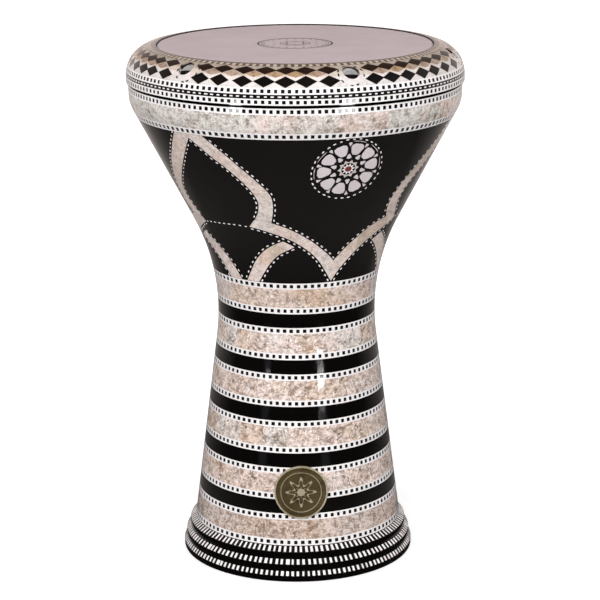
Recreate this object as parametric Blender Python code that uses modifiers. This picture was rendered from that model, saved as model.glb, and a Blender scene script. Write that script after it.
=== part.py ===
"""Goblet drum with a bolted clamping ring, a synthetic head and pearl inlay.

Units are metres, +Z is up, and the origin is on the drum's axis at the floor.
Angles round the drum are in degrees from the front (-Y) towards +X.
"""

import math

import bmesh
import bpy

# Facets in one full turn of the turned pieces, and of the smaller round ones
TURN_STEPS = 30
WELL_SIDES = 16
BOLT_SIDES = 12
HEX_SIDES = 6
# Space between pieces that touch
FIT_GAP = 0.0003
# How far a cutter runs past the face it opens
CUTTER_OVERRUN = 0.001
MERGE_DISTANCE = 0.00001

# Body: stem, throat and bowl
STEM_BASE_RADIUS = 0.0894
THROAT_RADIUS = 0.0618
THROAT_HEIGHT = 0.2471
THROAT_FILLET = 0.178
THROAT_STEPS = 7
RIM_RADIUS = 0.140
SHOULDER_DROP = 0.0154
SHOULDER_FILLET = 0.025
SHOULDER_STEPS = 2
BODY_HEIGHT = 0.4108
WALL = 0.0045
# Least height between a corner of the outline and the edge of a band
OUTLINE_MARGIN = 0.0005
# Height over which the outline's lean is measured
LEAN_SPAN = 0.004

# Foot: three tiers, each with a sloping shoulder
TIER_RADII = (0.1002, 0.0982, 0.0960)
TIER_HEIGHT = 0.0095
TIER_EDGE_ROUND = 0.0008
SHOULDER_RISE = 0.0038
FOOT_RIM_WIDTH = 0.0077
FOOT_BORE_DEPTH = 0.006

# Rim of the body: a thick band for the bolts, and the collar with its bearing edge
RIM_BAND_THICKNESS = 0.019
RIM_BAND_FLOOR = 0.009
RIM_PLATE = 0.0088
RIM_TAPER = 0.009
RIM_SHELF = 0.0274
COLLAR_WALL = 0.0041
BEARING_ROUND = 0.0014

# Head: film, and the hoop with the slot that grips the film's hem
HEAD_RISE = 0.0308
FILM_THICKNESS = 0.0004
FILM_GRIP = 0.0049
HOOP_CLEARANCE = 0.0008
HOOP_INNER_WALL = 0.0010
HOOP_SLOT_WIDTH = 0.0014
HOOP_OUTER_WALL = 0.0048
HOOP_HEIGHT = 0.0115
HOOP_SLOT_DEPTH = 0.0085

# Clamping ring
RING_OVERHANG = 0.0018
RING_REST_GAP = 0.0014
RING_LIP = 0.0006
RING_LIP_WIDTH = 0.0009
RING_SEAT_DROP = 0.0149
RING_FILM_CLEARANCE = 0.0006
RING_HOOP_CLEARANCE = 0.0004
CROWN_STEPS = 6

# Bolts, washers and their wells
BOLT_COUNT = 6
BOLT_ANGLE = 19.2
BOLT_INSET = 0.008
WELL_FLOOR = 0.0088
WELL_CLEARANCE = 0.0005
BOLT_SHANK_RADIUS = 0.0029
BOLT_LENGTH = 0.025
BOLT_HEAD_RADIUS = 0.005
BOLT_HEAD_HEIGHT = 0.006
BOLT_RUNOUT = 0.004
HEX_ACROSS_FLATS = 0.005
HEX_DEPTH = 0.003
SHANK_CLEARANCE = 0.0005
THREAD_CLEARANCE = 0.00035
WASHER_RIM = 0.0008
WASHER_THICKNESS = 0.0012

# Inlay: thickness of every strip, and the widths of strips and bands
INLAY = 0.0012
DOT_STRIP = 0.0054
STEM_BANDS = 6
STEM_BAND_RISE = 0.0054
STEM_BAND_WIDTH = 0.0273
STEM_FOOT_MARGIN = 0.0002
BOWL_BAND_DROP = 0.0005
BOWL_BAND_WIDTH = 0.0259
RIM_STRIP_START = 0.0006
RIM_LOWER_DOTS = 0.0050
RIM_DASHES = 0.00345
RIM_UPPER_DOTS = 0.00525
RIM_INNER_DOTS = 0.0060
RIM_STRIP_END = 0.0022

# Ribbons, rosettes and the plate on the stem
PANELS = 3
RIBBON_WIDTH = 0.010
RIBBON_THICKNESS = 0.0010
RIBBON_CLEARANCE = 0.00045
RIBBON_CELLS = 2
PANEL_ANGLE = 21.5
STAR_RADIUS = 0.027
STAR_SHARE = 0.792
PLATE_ANGLE = 2.0
PLATE_RISE = 0.046
PLATE_RADIUS = 0.0225
PLATE_THICKNESS = 0.0018
DISC_CELLS = 6

# Centre lines of the ribbons on half a panel: degrees from its axis, and share of the
# field's height from the stem's top band to the bowl's band. The laced one rises from
# the point of the arch to its shoulder, turns back and climbs to the rim.
LACE_LINE = (
    (0.0, 0.080), (6.9, 0.176), (14.4, 0.259), (21.0, 0.309),
    (27.7, 0.354), (34.0, 0.386), (39.8, 0.403), (36.1, 0.462),
    (34.7, 0.512), (34.0, 0.569), (34.9, 0.618), (37.6, 0.677),
    (44.5, 0.790), (50.7, 0.885), (56.8, 0.983),
)
LOWER_LINE = (
    (7.6, 0.027), (12.3, 0.080), (16.9, 0.148),
    (22.3, 0.208), (28.1, 0.246), (32.9, 0.271),
)

# What follows from these sizes, from the collar outwards
COLLAR_RADIUS = RIM_RADIUS - RIM_SHELF
HOOP_BORE = COLLAR_RADIUS + HOOP_CLEARANCE
SLOT_BORE = HOOP_BORE + HOOP_INNER_WALL
SLOT_RADIUS = SLOT_BORE + HOOP_SLOT_WIDTH
HOOP_RADIUS = SLOT_RADIUS + HOOP_OUTER_WALL
FILM_RADIUS = (SLOT_BORE + SLOT_RADIUS + FILM_THICKNESS) / 2
RING_BORE = FILM_RADIUS + RING_FILM_CLEARANCE
RING_RADIUS = RIM_RADIUS + RING_OVERHANG
CROWN_CENTRE = RING_BORE + RING_LIP_WIDTH
CROWN_RADIUS = RING_RADIUS - CROWN_CENTRE

# Heights in the head and the ring
HEAD_HEIGHT = BODY_HEIGHT + HEAD_RISE
RING_BOTTOM = BODY_HEIGHT + RING_REST_GAP
RING_TOP = HEAD_HEIGHT + RING_LIP
RING_SEAT = RING_TOP - RING_SEAT_DROP
HOOP_TOP = RING_SEAT - FIT_GAP
CROWN_HEIGHT = RING_TOP - CROWN_RADIUS
RING_SIDE = CROWN_HEIGHT - RING_BOTTOM
CROWN_LENGTH = RING_SIDE + CROWN_RADIUS * math.pi / 2

# The bolts, and the holes that take them
BOLT_CIRCLE = RIM_RADIUS - BOLT_INSET
WASHER_RADIUS = BOLT_HEAD_RADIUS + WASHER_RIM
WELL_RADIUS = WASHER_RADIUS + WELL_CLEARANCE
CLEARANCE_HOLE_RADIUS = BOLT_SHANK_RADIUS + SHANK_CLEARANCE
TAPPED_HOLE_RADIUS = BOLT_SHANK_RADIUS + THREAD_CLEARANCE
WELL_BASE = RING_BOTTOM + WELL_FLOOR
WASHER_SEAT = WELL_BASE + FIT_GAP
BOLT_SEAT = WASHER_SEAT + WASHER_THICKNESS + FIT_GAP
TAPPED_HOLE_BASE = BOLT_SEAT - BOLT_LENGTH - BOLT_RUNOUT
RIM_BAND_BASE = TAPPED_HOLE_BASE - RIM_BAND_FLOOR

# The bands on the body
FOOT_TOP = TIER_HEIGHT * len(TIER_RADII)
STEM_BAND_TOP = THROAT_HEIGHT + STEM_BAND_RISE
STEM_BAND_PITCH = (
    (STEM_BAND_TOP - STEM_BAND_WIDTH - FOOT_TOP - STEM_FOOT_MARGIN) / (STEM_BANDS - 1)
)
BOWL_BAND_TOP = BODY_HEIGHT - BOWL_BAND_DROP
BOWL_BAND_BASE = BOWL_BAND_TOP - BOWL_BAND_WIDTH

# Colours: name, base colour, roughness, metallic
CAST_BLACK = ("cast_black", (0.012, 0.011, 0.011), 0.18, 0.0)
BARE_ALUMINIUM = ("bare_aluminium", (0.72, 0.71, 0.70), 0.35, 1.0)
PEARL = ("pearl", (0.62, 0.54, 0.50), 0.22, 0.0)
WHITE_AND_BLACK = ("white_and_black", (0.82, 0.80, 0.80), 0.25, 0.0)
FILM = ("film", (0.50, 0.42, 0.43), 0.55, 0.0)
STEEL = ("steel", (0.20, 0.20, 0.21), 0.35, 1.0)
BRASS = ("brass", (0.44, 0.36, 0.20), 0.30, 1.0)


def clear_scene():
    """Remove every object of the scene that is open."""
    for obj in list(bpy.data.objects):
        bpy.data.objects.remove(obj, do_unlink=True)


def make_collection(name):
    """Add an empty collection to the scene."""
    group = bpy.data.collections.new(name)
    bpy.context.scene.collection.children.link(group)
    return group


def make_material(finish):
    """Return the material of a finish, made once."""
    name, colour, roughness, metallic = finish
    material = bpy.data.materials.get(name)
    if material is None:
        material = bpy.data.materials.new(name)
        material.use_nodes = True
        shader = material.node_tree.nodes["Principled BSDF"]
        shader.inputs["Base Color"].default_value = (*colour, 1.0)
        shader.inputs["Roughness"].default_value = roughness
        shader.inputs["Metallic"].default_value = metallic
    return material


def add_object(name, bm, finish, group, location=(0.0, 0.0, 0.0), sharp_degrees=40.0):
    """Turn a bmesh into a named object, smooth up to the given angle between faces."""
    mesh = bpy.data.meshes.new(name)
    bm.to_mesh(mesh)
    bm.free()
    mesh.shade_smooth()
    mesh.set_sharp_from_angle(angle=math.radians(sharp_degrees))
    obj = bpy.data.objects.new(name, mesh)
    obj.location = location
    obj.data.materials.append(make_material(finish))
    group.objects.link(obj)
    return obj


def turn(name, section, finish, group, closed=True, steps=TURN_STEPS, location=(0.0, 0.0, 0.0)):
    """Turn a section, listed down its outer side first, about an upright axis."""
    bm = bmesh.new()
    verts = [bm.verts.new((radius, 0.0, height)) for radius, height in section]
    for first, second in zip(verts, verts[1:]):
        bm.edges.new((first, second))
    if closed:
        bm.edges.new((verts[-1], verts[0]))
    obj = add_object(name, bm, finish, group, location)
    screw = obj.modifiers.new("turn", "SCREW")
    screw.axis = "Z"
    screw.steps = steps
    screw.render_steps = steps
    screw.use_merge_vertices = True
    screw.merge_threshold = MERGE_DISTANCE
    screw.use_smooth_shade = True
    return obj


def cut(obj, cutter):
    """Subtract a cutter from an object."""
    boolean = obj.modifiers.new("cut_" + cutter.name, "BOOLEAN")
    boolean.operation = "DIFFERENCE"
    boolean.solver = "EXACT"
    boolean.object = cutter


def add_bores(name, places, radius, bottom, top, sides, group):
    """Add upright cylinders at the given places as one hidden cutter."""
    bm = bmesh.new()
    for x, y in places:
        made = bmesh.ops.create_cone(bm, cap_ends=True, segments=sides, radius1=radius,
                                     radius2=radius, depth=top - bottom)
        bmesh.ops.translate(bm, verts=made["verts"], vec=(x, y, (top + bottom) / 2))
    cutter = add_object(name, bm, CAST_BLACK, group)
    cutter.display_type = "WIRE"
    cutter.hide_render = True
    return cutter


def unit(start, end):
    """Return the direction from one point to another."""
    length = math.dist(start, end)
    return (end[0] - start[0]) / length, (end[1] - start[1]) / length


def round_corner(before, corner, after, radius, steps):
    """Return the points of an arc of the given radius that rounds a corner."""
    back = unit(corner, before)
    ahead = unit(corner, after)
    bisector = unit((0.0, 0.0), (back[0] + ahead[0], back[1] + ahead[1]))
    half = math.acos(back[0] * ahead[0] + back[1] * ahead[1]) / 2
    reach, tangent = radius / math.sin(half), radius / math.tan(half)
    centre = (corner[0] + bisector[0] * reach, corner[1] + bisector[1] * reach)
    angles = []
    for side in (back, ahead):
        touch = (corner[0] + side[0] * tangent, corner[1] + side[1] * tangent)
        angles.append(math.atan2(touch[1] - centre[1], touch[0] - centre[0]))
    sweep = (angles[1] - angles[0] + math.pi) % (2 * math.pi) - math.pi
    turned = [angles[0] + sweep * step / steps for step in range(steps + 1)]
    return [(centre[0] + radius * math.cos(a), centre[1] + radius * math.sin(a)) for a in turned]


def body_outline():
    """Return the outer line of stem, throat and bowl, from the foot up."""
    base = (STEM_BASE_RADIUS, FOOT_TOP)
    throat = (THROAT_RADIUS, THROAT_HEIGHT)
    shoulder = (RIM_RADIUS, BODY_HEIGHT - SHOULDER_DROP)
    top = (RIM_RADIUS, BODY_HEIGHT)
    return [
        base,
        *round_corner(base, throat, shoulder, THROAT_FILLET, THROAT_STEPS),
        *round_corner(throat, shoulder, top, SHOULDER_FILLET, SHOULDER_STEPS),
        top,
    ]


OUTLINE = body_outline()


def radius_at(height):
    """Return the body's outer radius at a height above the foot."""
    for (r0, z0), (r1, z1) in zip(OUTLINE, OUTLINE[1:]):
        if z0 <= height <= z1:
            return r0 + (r1 - r0) * (height - z0) / (z1 - z0)
    return OUTLINE[0][0] if height < OUTLINE[0][1] else OUTLINE[-1][0]


def slope_at(height):
    """Return the cosine of the outline's lean from upright at a height."""
    rise = radius_at(height + LEAN_SPAN / 2) - radius_at(height - LEAN_SPAN / 2)
    return LEAN_SPAN / math.hypot(rise, LEAN_SPAN)


def outline_heights(low, high):
    """Return the outline's own heights strictly between two heights, rising."""
    return [z for _, z in OUTLINE if low + OUTLINE_MARGIN < z < high - OUTLINE_MARGIN]


def side_points(low, high, depth):
    """Return points along the body's surface between two heights, rising, at a depth."""
    heights = [low, *outline_heights(low, high), high]
    return [(radius_at(z) - depth, z) for z in heights]


def band_section(low, high):
    """Return the section of an inlay that lies flush in its groove."""
    outer = side_points(low + FIT_GAP / 2, high - FIT_GAP / 2, 0.0)
    inner = side_points(low + FIT_GAP / 2, high - FIT_GAP / 2, INLAY)
    return [*reversed(outer), *inner]


def groove_points(low, high):
    """Return the points of a groove for the inlay between two heights, rising."""
    floor = side_points(low - FIT_GAP / 2, high + FIT_GAP / 2, INLAY + FIT_GAP)
    return [(radius_at(floor[0][1]), floor[0][1]), *floor, (radius_at(floor[-1][1]), floor[-1][1])]


def stem_band_heights(index):
    """Return the lower and upper edge of one inlaid band of the stem."""
    high = STEM_BAND_TOP - index * STEM_BAND_PITCH
    return high - STEM_BAND_WIDTH, high


def tier_shoulder(index):
    """Return the outer and inner end of a tier's sloping shoulder."""
    top = (index + 1) * TIER_HEIGHT
    next_radius = (*TIER_RADII[1:], STEM_BASE_RADIUS)[index]
    outer = (TIER_RADII[index], top - SHOULDER_RISE)
    inner = (next_radius - TIER_EDGE_ROUND / 2, top - TIER_EDGE_ROUND / 2)
    return outer, inner


def along(start, end, distance, depth):
    """Return a point at a distance along a line and a depth to its lower side."""
    length = math.dist(start, end)
    dr, dz = (end[0] - start[0]) / length, (end[1] - start[1]) / length
    return start[0] + dr * distance - dz * depth, start[1] + dz * distance + dr * depth


def foot_points():
    """Return the outer line of the foot, rising, with a recess in each shoulder."""
    points = [(TIER_RADII[0] - TIER_EDGE_ROUND, 0.0)]
    for index, radius in enumerate(TIER_RADII):
        base = index * TIER_HEIGHT
        outer, inner = tier_shoulder(index)
        length = math.dist(outer, inner)
        points.append((radius, base + TIER_EDGE_ROUND))
        points.append(outer)
        points.append(along(outer, inner, FIT_GAP, 0.0))
        points.append(along(outer, inner, FIT_GAP, INLAY + FIT_GAP))
        points.append(along(outer, inner, length - FIT_GAP, INLAY + FIT_GAP))
        points.append(along(outer, inner, length - FIT_GAP, 0.0))
    return points


def shell_section():
    """Return the section of the cast body, down its outer side and up its bore."""
    outer = [*foot_points(), OUTLINE[0]]
    bands = [stem_band_heights(index) for index in reversed(range(STEM_BANDS))]
    bands.append((BOWL_BAND_BASE, BOWL_BAND_TOP))
    last = OUTLINE[0][1]
    for low, high in bands:
        outer += [(radius_at(z), z) for z in outline_heights(last, low)]
        outer += groove_points(low, high)
        last = high
    crest = HEAD_HEIGHT - FILM_THICKNESS - FIT_GAP
    collar_bore = COLLAR_RADIUS - COLLAR_WALL
    band_bore = RIM_RADIUS - RIM_BAND_THICKNESS
    foot_bore = TIER_RADII[0] - FOOT_RIM_WIDTH
    plate_base = BODY_HEIGHT - RIM_PLATE
    outer.append((RIM_RADIUS, BODY_HEIGHT))
    outer.append((COLLAR_RADIUS, BODY_HEIGHT))
    outer.append((COLLAR_RADIUS, crest - BEARING_ROUND))
    outer.append((COLLAR_RADIUS - BEARING_ROUND, crest))
    outer.append((collar_bore + BEARING_ROUND, crest))
    inner = [(collar_bore, crest - BEARING_ROUND)]
    inner.append((collar_bore, plate_base))
    inner.append((band_bore, plate_base - RIM_TAPER))
    inner.append((band_bore, RIM_BAND_BASE))
    bowl_top = RIM_BAND_BASE - RIM_TAPER
    heights = [bowl_top, *reversed(outline_heights(FOOT_TOP, bowl_top)), FOOT_TOP]
    inner += [(radius_at(z) - WALL / slope_at(z), z) for z in heights]
    inner.append((foot_bore, FOOT_BORE_DEPTH))
    inner.append((foot_bore, 0.0))
    return [*reversed(outer), *reversed(inner)]


def bolt_places():
    """Return the x and y of each bolt."""
    places = []
    for index in range(BOLT_COUNT):
        angle = math.radians(BOLT_ANGLE + 360 * index / BOLT_COUNT)
        places.append((BOLT_CIRCLE * math.sin(angle), -BOLT_CIRCLE * math.cos(angle)))
    return places


def make_shell(parts, cutters):
    """Make the cast body and tap its rim for the bolts."""
    shell = turn("shell", shell_section(), CAST_BLACK, parts)
    holes = add_bores("tapped_holes", bolt_places(), TAPPED_HOLE_RADIUS, TAPPED_HOLE_BASE,
                      BODY_HEIGHT + CUTTER_OVERRUN, BOLT_SIDES, cutters)
    cut(shell, holes)


def make_head(parts):
    """Make the film with its turned-down hem, and the hoop that grips the hem."""
    hem_end = HOOP_TOP - FILM_GRIP
    turn("head_film", [
        (0.0, HEAD_HEIGHT),
        (FILM_RADIUS - FILM_THICKNESS, HEAD_HEIGHT),
        (FILM_RADIUS, HEAD_HEIGHT - FILM_THICKNESS),
        (FILM_RADIUS, hem_end),
        (FILM_RADIUS - FILM_THICKNESS, hem_end),
        (FILM_RADIUS - FILM_THICKNESS, HEAD_HEIGHT - 2 * FILM_THICKNESS),
        (FILM_RADIUS - 2 * FILM_THICKNESS, HEAD_HEIGHT - FILM_THICKNESS),
        (0.0, HEAD_HEIGHT - FILM_THICKNESS),
    ], FILM, parts, closed=False)
    hoop_base = HOOP_TOP - HOOP_HEIGHT
    slot_base = HOOP_TOP - HOOP_SLOT_DEPTH
    turn("head_hoop", [
        (HOOP_RADIUS, HOOP_TOP), (HOOP_RADIUS, hoop_base),
        (HOOP_BORE, hoop_base), (HOOP_BORE, HOOP_TOP),
        (SLOT_BORE, HOOP_TOP), (SLOT_BORE, slot_base),
        (SLOT_RADIUS, slot_base), (SLOT_RADIUS, HOOP_TOP),
    ], BARE_ALUMINIUM, parts)


def crown_point(distance, depth):
    """Return a point on the ring: its distance up from the lower edge, and its depth."""
    if distance <= RING_SIDE:
        return RING_RADIUS - depth, RING_BOTTOM + distance
    angle = (distance - RING_SIDE) / CROWN_RADIUS
    reach = CROWN_RADIUS - depth
    return CROWN_CENTRE + reach * math.cos(angle), CROWN_HEIGHT + reach * math.sin(angle)


def crown_bends(low, high):
    """Return the bends of the ring's crown between two distances up from its lower edge."""
    step = (CROWN_LENGTH - RING_SIDE) / CROWN_STEPS
    bends = [RING_SIDE + step * count for count in range(CROWN_STEPS + 1)]
    return [bend for bend in bends if low + FIT_GAP < bend < high - FIT_GAP]


def crown_section(start, width):
    """Return the section of an inlay laid on the ring's crown."""
    low, high = start + FIT_GAP / 2, start + width - FIT_GAP / 2
    stops = [low, *crown_bends(low, high), high]
    outer = [crown_point(stop, 0.0) for stop in stops]
    inner = [crown_point(stop, INLAY) for stop in stops]
    return [*reversed(outer), *inner]


def rim_strips():
    """Return name, start and width of each inlay on the ring, from its lower edge."""
    field = CROWN_LENGTH - RIM_STRIP_START - RIM_STRIP_END
    narrow = RIM_LOWER_DOTS + RIM_DASHES + RIM_UPPER_DOTS + RIM_INNER_DOTS
    widths = (
        ("rim_dots_lower", RIM_LOWER_DOTS),
        ("rim_dash_band", RIM_DASHES),
        ("rim_dots_upper", RIM_UPPER_DOTS),
        ("rim_diamonds", field - narrow - FIT_GAP),
        ("rim_dots_inner", RIM_INNER_DOTS),
    )
    strips = []
    start = RIM_STRIP_START + FIT_GAP / 2
    for name, width in widths:
        strips.append((name, start, width))
        start += width
    return strips


def make_clamp_ring(parts, cutters):
    """Make the clamping ring, its wells and the inlay on its crown."""
    inlay_end = CROWN_LENGTH - RIM_STRIP_END
    depth = INLAY + FIT_GAP
    outer = [crown_point(0.0, 0.0), crown_point(RIM_STRIP_START, 0.0)]
    outer.append(crown_point(RIM_STRIP_START, depth))
    outer += [crown_point(bend, depth) for bend in crown_bends(RIM_STRIP_START, inlay_end)]
    outer.append(crown_point(inlay_end, depth))
    outer.append(crown_point(inlay_end, 0.0))
    relief = HOOP_RADIUS + RING_HOOP_CLEARANCE
    section = [
        (RING_BORE, RING_TOP),
        *reversed(outer),
        (relief, RING_BOTTOM),
        (relief, RING_SEAT),
        (RING_BORE, RING_SEAT),
    ]
    ring = turn("top_ring", section, BARE_ALUMINIUM, parts)
    wells = add_bores("wells", bolt_places(), WELL_RADIUS, WELL_BASE,
                      RING_TOP + CUTTER_OVERRUN, WELL_SIDES, cutters)
    holes = add_bores("clearance_holes", bolt_places(), CLEARANCE_HOLE_RADIUS,
                      RING_BOTTOM - CUTTER_OVERRUN, WELL_BASE + CUTTER_OVERRUN,
                      BOLT_SIDES, cutters)
    cut(ring, wells)
    cut(ring, holes)
    for name, start, width in rim_strips():
        strip = turn(name, crown_section(start, width), WHITE_AND_BLACK, parts)
        if name == "rim_diamonds":
            strip.data.materials[0] = make_material(PEARL)
            cut(strip, wells)


def make_bolts(parts, cutters):
    """Make the socket-head bolts and the washers under their heads."""
    head_top = BOLT_SEAT + BOLT_HEAD_HEIGHT
    bolt_section = [
        (0.0, BOLT_HEAD_HEIGHT), (BOLT_HEAD_RADIUS, BOLT_HEAD_HEIGHT), (BOLT_HEAD_RADIUS, 0.0),
        (BOLT_SHANK_RADIUS, 0.0), (BOLT_SHANK_RADIUS, -BOLT_LENGTH), (0.0, -BOLT_LENGTH),
    ]
    washer_section = [
        (WASHER_RADIUS, WASHER_THICKNESS), (WASHER_RADIUS, 0.0),
        (CLEARANCE_HOLE_RADIUS, 0.0), (CLEARANCE_HOLE_RADIUS, WASHER_THICKNESS),
    ]
    for number, (x, y) in enumerate(bolt_places(), start=1):
        bolt = turn(f"bolt_{number}", bolt_section, STEEL, parts, closed=False,
                    steps=BOLT_SIDES, location=(x, y, BOLT_SEAT))
        socket = add_bores(f"socket_{number}", [(x, y)], HEX_ACROSS_FLATS / math.sqrt(3),
                           head_top - HEX_DEPTH, head_top + CUTTER_OVERRUN, HEX_SIDES, cutters)
        cut(bolt, socket)
        turn(f"washer_{number}", washer_section, STEEL, parts,
             steps=BOLT_SIDES, location=(x, y, WASHER_SEAT))


def make_band(prefix, low, high, parts, suffix=""):
    """Make a pearl band with a dotted strip along each edge, side by side in one groove."""
    turn(f"{prefix}_dots_lower{suffix}", band_section(low, low + DOT_STRIP), WHITE_AND_BLACK, parts)
    turn(f"{prefix}_pearl{suffix}", band_section(low + DOT_STRIP, high - DOT_STRIP), PEARL, parts)
    turn(f"{prefix}_dots_upper{suffix}", band_section(high - DOT_STRIP, high), WHITE_AND_BLACK, parts)


def make_bands(parts):
    """Make the bands of the bowl and the stem, and the bars on the foot's tiers."""
    make_band("bowl", BOWL_BAND_BASE, BOWL_BAND_TOP, parts)
    for index in range(STEM_BANDS):
        low, high = stem_band_heights(index)
        make_band("stem", low, high, parts, suffix=f"_{index + 1}")
    for index in range(len(TIER_RADII)):
        outer, inner = tier_shoulder(index)
        length = math.dist(outer, inner)
        turn(f"foot_bars_{index + 1}", [
            along(outer, inner, length - 2 * FIT_GAP, 0.0),
            along(outer, inner, 2 * FIT_GAP, 0.0),
            along(outer, inner, 2 * FIT_GAP, INLAY),
            along(outer, inner, length - 2 * FIT_GAP, INLAY),
        ], WHITE_AND_BLACK, parts)


def on_body(angle, height, depth=0.0):
    """Return the point at an angle in degrees and a height on the body's surface."""
    radius = radius_at(height) - depth
    turned = math.radians(angle)
    return radius * math.sin(turned), -radius * math.cos(turned), height


def field_height(share):
    """Return the height at a share of the field between the stem's and the bowl's bands."""
    return STEM_BAND_TOP + (BOWL_BAND_BASE - STEM_BAND_TOP) * share


def ribbon_edges(line):
    """Return the two edges of a ribbon about its centre line, mitred at each bend."""
    left, right = [], []
    for index, (angle, height) in enumerate(line):
        scale_x = math.radians(1) * radius_at(height)
        scale_y = 1 / slope_at(height)
        legs = []
        for start, end in ((index - 1, index), (index, index + 1)):
            if start >= 0 and end < len(line):
                dx = (line[end][0] - line[start][0]) * scale_x
                dy = (line[end][1] - line[start][1]) * scale_y
                length = math.hypot(dx, dy)
                legs.append((dx / length, dy / length))
        first, last = legs[0], legs[-1]
        nx, ny = -(first[1] + last[1]), first[0] + last[0]
        size = math.hypot(nx, ny)
        nx, ny = nx / size, ny / size
        reach = RIBBON_WIDTH / 2 / (nx * -first[1] + ny * first[0])
        left.append((angle + nx * reach / scale_x, height + ny * reach / scale_y))
        right.append((angle - nx * reach / scale_x, height - ny * reach / scale_y))
    return left, right


def add_ribbon(bm, line):
    """Lay one ribbon on the body as an open strip of faces."""
    left, right = ribbon_edges(line)
    cells = len(line) - 1
    made = bmesh.ops.create_grid(bm, x_segments=cells, y_segments=RIBBON_CELLS, size=1.0)
    for vert in made["verts"]:
        station = round((vert.co.x + 1) / 2 * cells)
        share = (vert.co.y + 1) / 2
        angle = right[station][0] + (left[station][0] - right[station][0]) * share
        height = right[station][1] + (left[station][1] - right[station][1]) * share
        vert.co = on_body(angle, height, -RIBBON_CLEARANCE)


def thicken(name, bm, finish, group, thickness):
    """Make an outward-facing object from open sheets and give it a thickness."""
    bmesh.ops.recalc_face_normals(bm, faces=bm.faces)
    for face in bm.faces:
        middle = face.calc_center_median()
        if face.normal.x * middle.x + face.normal.y * middle.y < 0:
            face.normal_flip()
    obj = add_object(name, bm, finish, group)
    solid = obj.modifiers.new("thickness", "SOLIDIFY")
    solid.thickness = thickness
    solid.offset = 1.0
    return obj


def make_ribbon(name, axis, line, parts):
    """Make one ribbon from its centre line, whose angles are counted from the axis."""
    bm = bmesh.new()
    add_ribbon(bm, [(axis + angle, field_height(share)) for angle, share in line])
    thicken(name, bm, PEARL, parts, RIBBON_THICKNESS)


def mirrored(line):
    """Return a centre line on the other half of its panel."""
    return [(-angle, share) for angle, share in line]


def make_ribbons(parts):
    """Make the laced ribbon of each panel, and the two short ones between panels."""
    lace = [*reversed(mirrored(LACE_LINE[1:])), *LACE_LINE]
    for panel in range(PANELS):
        axis = PANEL_ANGLE + 360 / PANELS * panel
        between = axis + 180 / PANELS
        make_ribbon(f"lace_ribbon_{panel + 1}", axis, lace, parts)
        make_ribbon(f"lower_ribbon_{2 * panel + 1}", between, mirrored(LOWER_LINE), parts)
        make_ribbon(f"lower_ribbon_{2 * panel + 2}", between, LOWER_LINE, parts)


def make_disc(name, angle, height, radius, thickness, finish, group):
    """Make a round plate that follows the body's curve."""
    bm = bmesh.new()
    bmesh.ops.create_grid(bm, x_segments=DISC_CELLS, y_segments=DISC_CELLS, size=1.0)
    for vert in bm.verts:
        x = radius * vert.co.x * math.sqrt(1 - vert.co.y ** 2 / 2)
        y = radius * vert.co.y * math.sqrt(1 - vert.co.x ** 2 / 2)
        level = height + y * slope_at(height)
        turned = angle + math.degrees(x / radius_at(level))
        vert.co = on_body(turned, level, -RIBBON_CLEARANCE)
    thicken(name, bm, finish, group, thickness)


def make_plates(parts):
    """Make the rosettes of the bowl and the brass plate of the stem."""
    for panel in range(PANELS):
        make_disc(f"rosette_{panel + 1}", PANEL_ANGLE + 360 / PANELS * panel,
                  field_height(STAR_SHARE), STAR_RADIUS, RIBBON_THICKNESS, PEARL, parts)
    make_disc("brass_plate", PLATE_ANGLE, FOOT_TOP + PLATE_RISE, PLATE_RADIUS,
              PLATE_THICKNESS, BRASS, parts)


def main():
    """Build every piece of the drum."""
    clear_scene()
    parts = make_collection("goblet_drum")
    cutters = make_collection("cutters")
    make_shell(parts, cutters)
    make_head(parts)
    make_clamp_ring(parts, cutters)
    make_bolts(parts, cutters)
    make_bands(parts)
    make_ribbons(parts)
    make_plates(parts)


main()
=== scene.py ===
"""Looks of a goblet drum: lacquered casting, pearl inlay, clamped head and studio.

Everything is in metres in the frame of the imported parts: +Z up the drum's axis, the
floor at zero, and angles round the drum in degrees from the front (-Y) towards +X.
"""

import logging
import math
import random
from bisect import bisect_right
from collections.abc import Callable, Iterable, Iterator, Sequence
from contextlib import contextmanager
from dataclasses import dataclass, field, replace
from enum import Enum
from itertools import accumulate

import bpy
from bpy.types import ID, Material, Mesh, Node, NodeSocket, NodeTree, Object
from mathutils import Matrix, Vector


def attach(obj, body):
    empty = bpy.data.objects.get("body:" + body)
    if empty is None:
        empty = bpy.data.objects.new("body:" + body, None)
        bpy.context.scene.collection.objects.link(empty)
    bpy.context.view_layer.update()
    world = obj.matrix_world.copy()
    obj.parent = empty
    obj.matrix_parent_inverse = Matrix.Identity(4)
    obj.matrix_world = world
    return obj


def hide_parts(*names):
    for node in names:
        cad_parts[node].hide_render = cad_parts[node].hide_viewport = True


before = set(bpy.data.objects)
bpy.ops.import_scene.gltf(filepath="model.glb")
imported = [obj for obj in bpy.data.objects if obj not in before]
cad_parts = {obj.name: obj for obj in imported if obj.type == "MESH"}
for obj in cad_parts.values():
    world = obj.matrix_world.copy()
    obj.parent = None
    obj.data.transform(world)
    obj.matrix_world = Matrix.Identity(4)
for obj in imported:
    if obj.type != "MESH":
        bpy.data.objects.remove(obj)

log = logging.getLogger("drum")
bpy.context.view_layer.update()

Pair = tuple[float, float]
Line = Sequence[Pair]
Colour = tuple[float, float, float]

MM = 0.001
FULL_TURN = 360.0
BODY = "body"
CLAMP = "clamp"
TINT = "tint"
NUMBER, VECTOR, COLOUR = "NodeSocketFloat", "NodeSocketVector", "NodeSocketColor"
STRIP_DEPTH = 1.1 * MM
SEAT_DEPTH = STRIP_DEPTH + 0.1 * MM
BLOCK_RISE = 0.05 * MM
BLOCK_CHAMFER = 0.1 * MM
TILE_RISE = 0.08 * MM
FIT_GAP = 0.3 * MM


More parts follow.
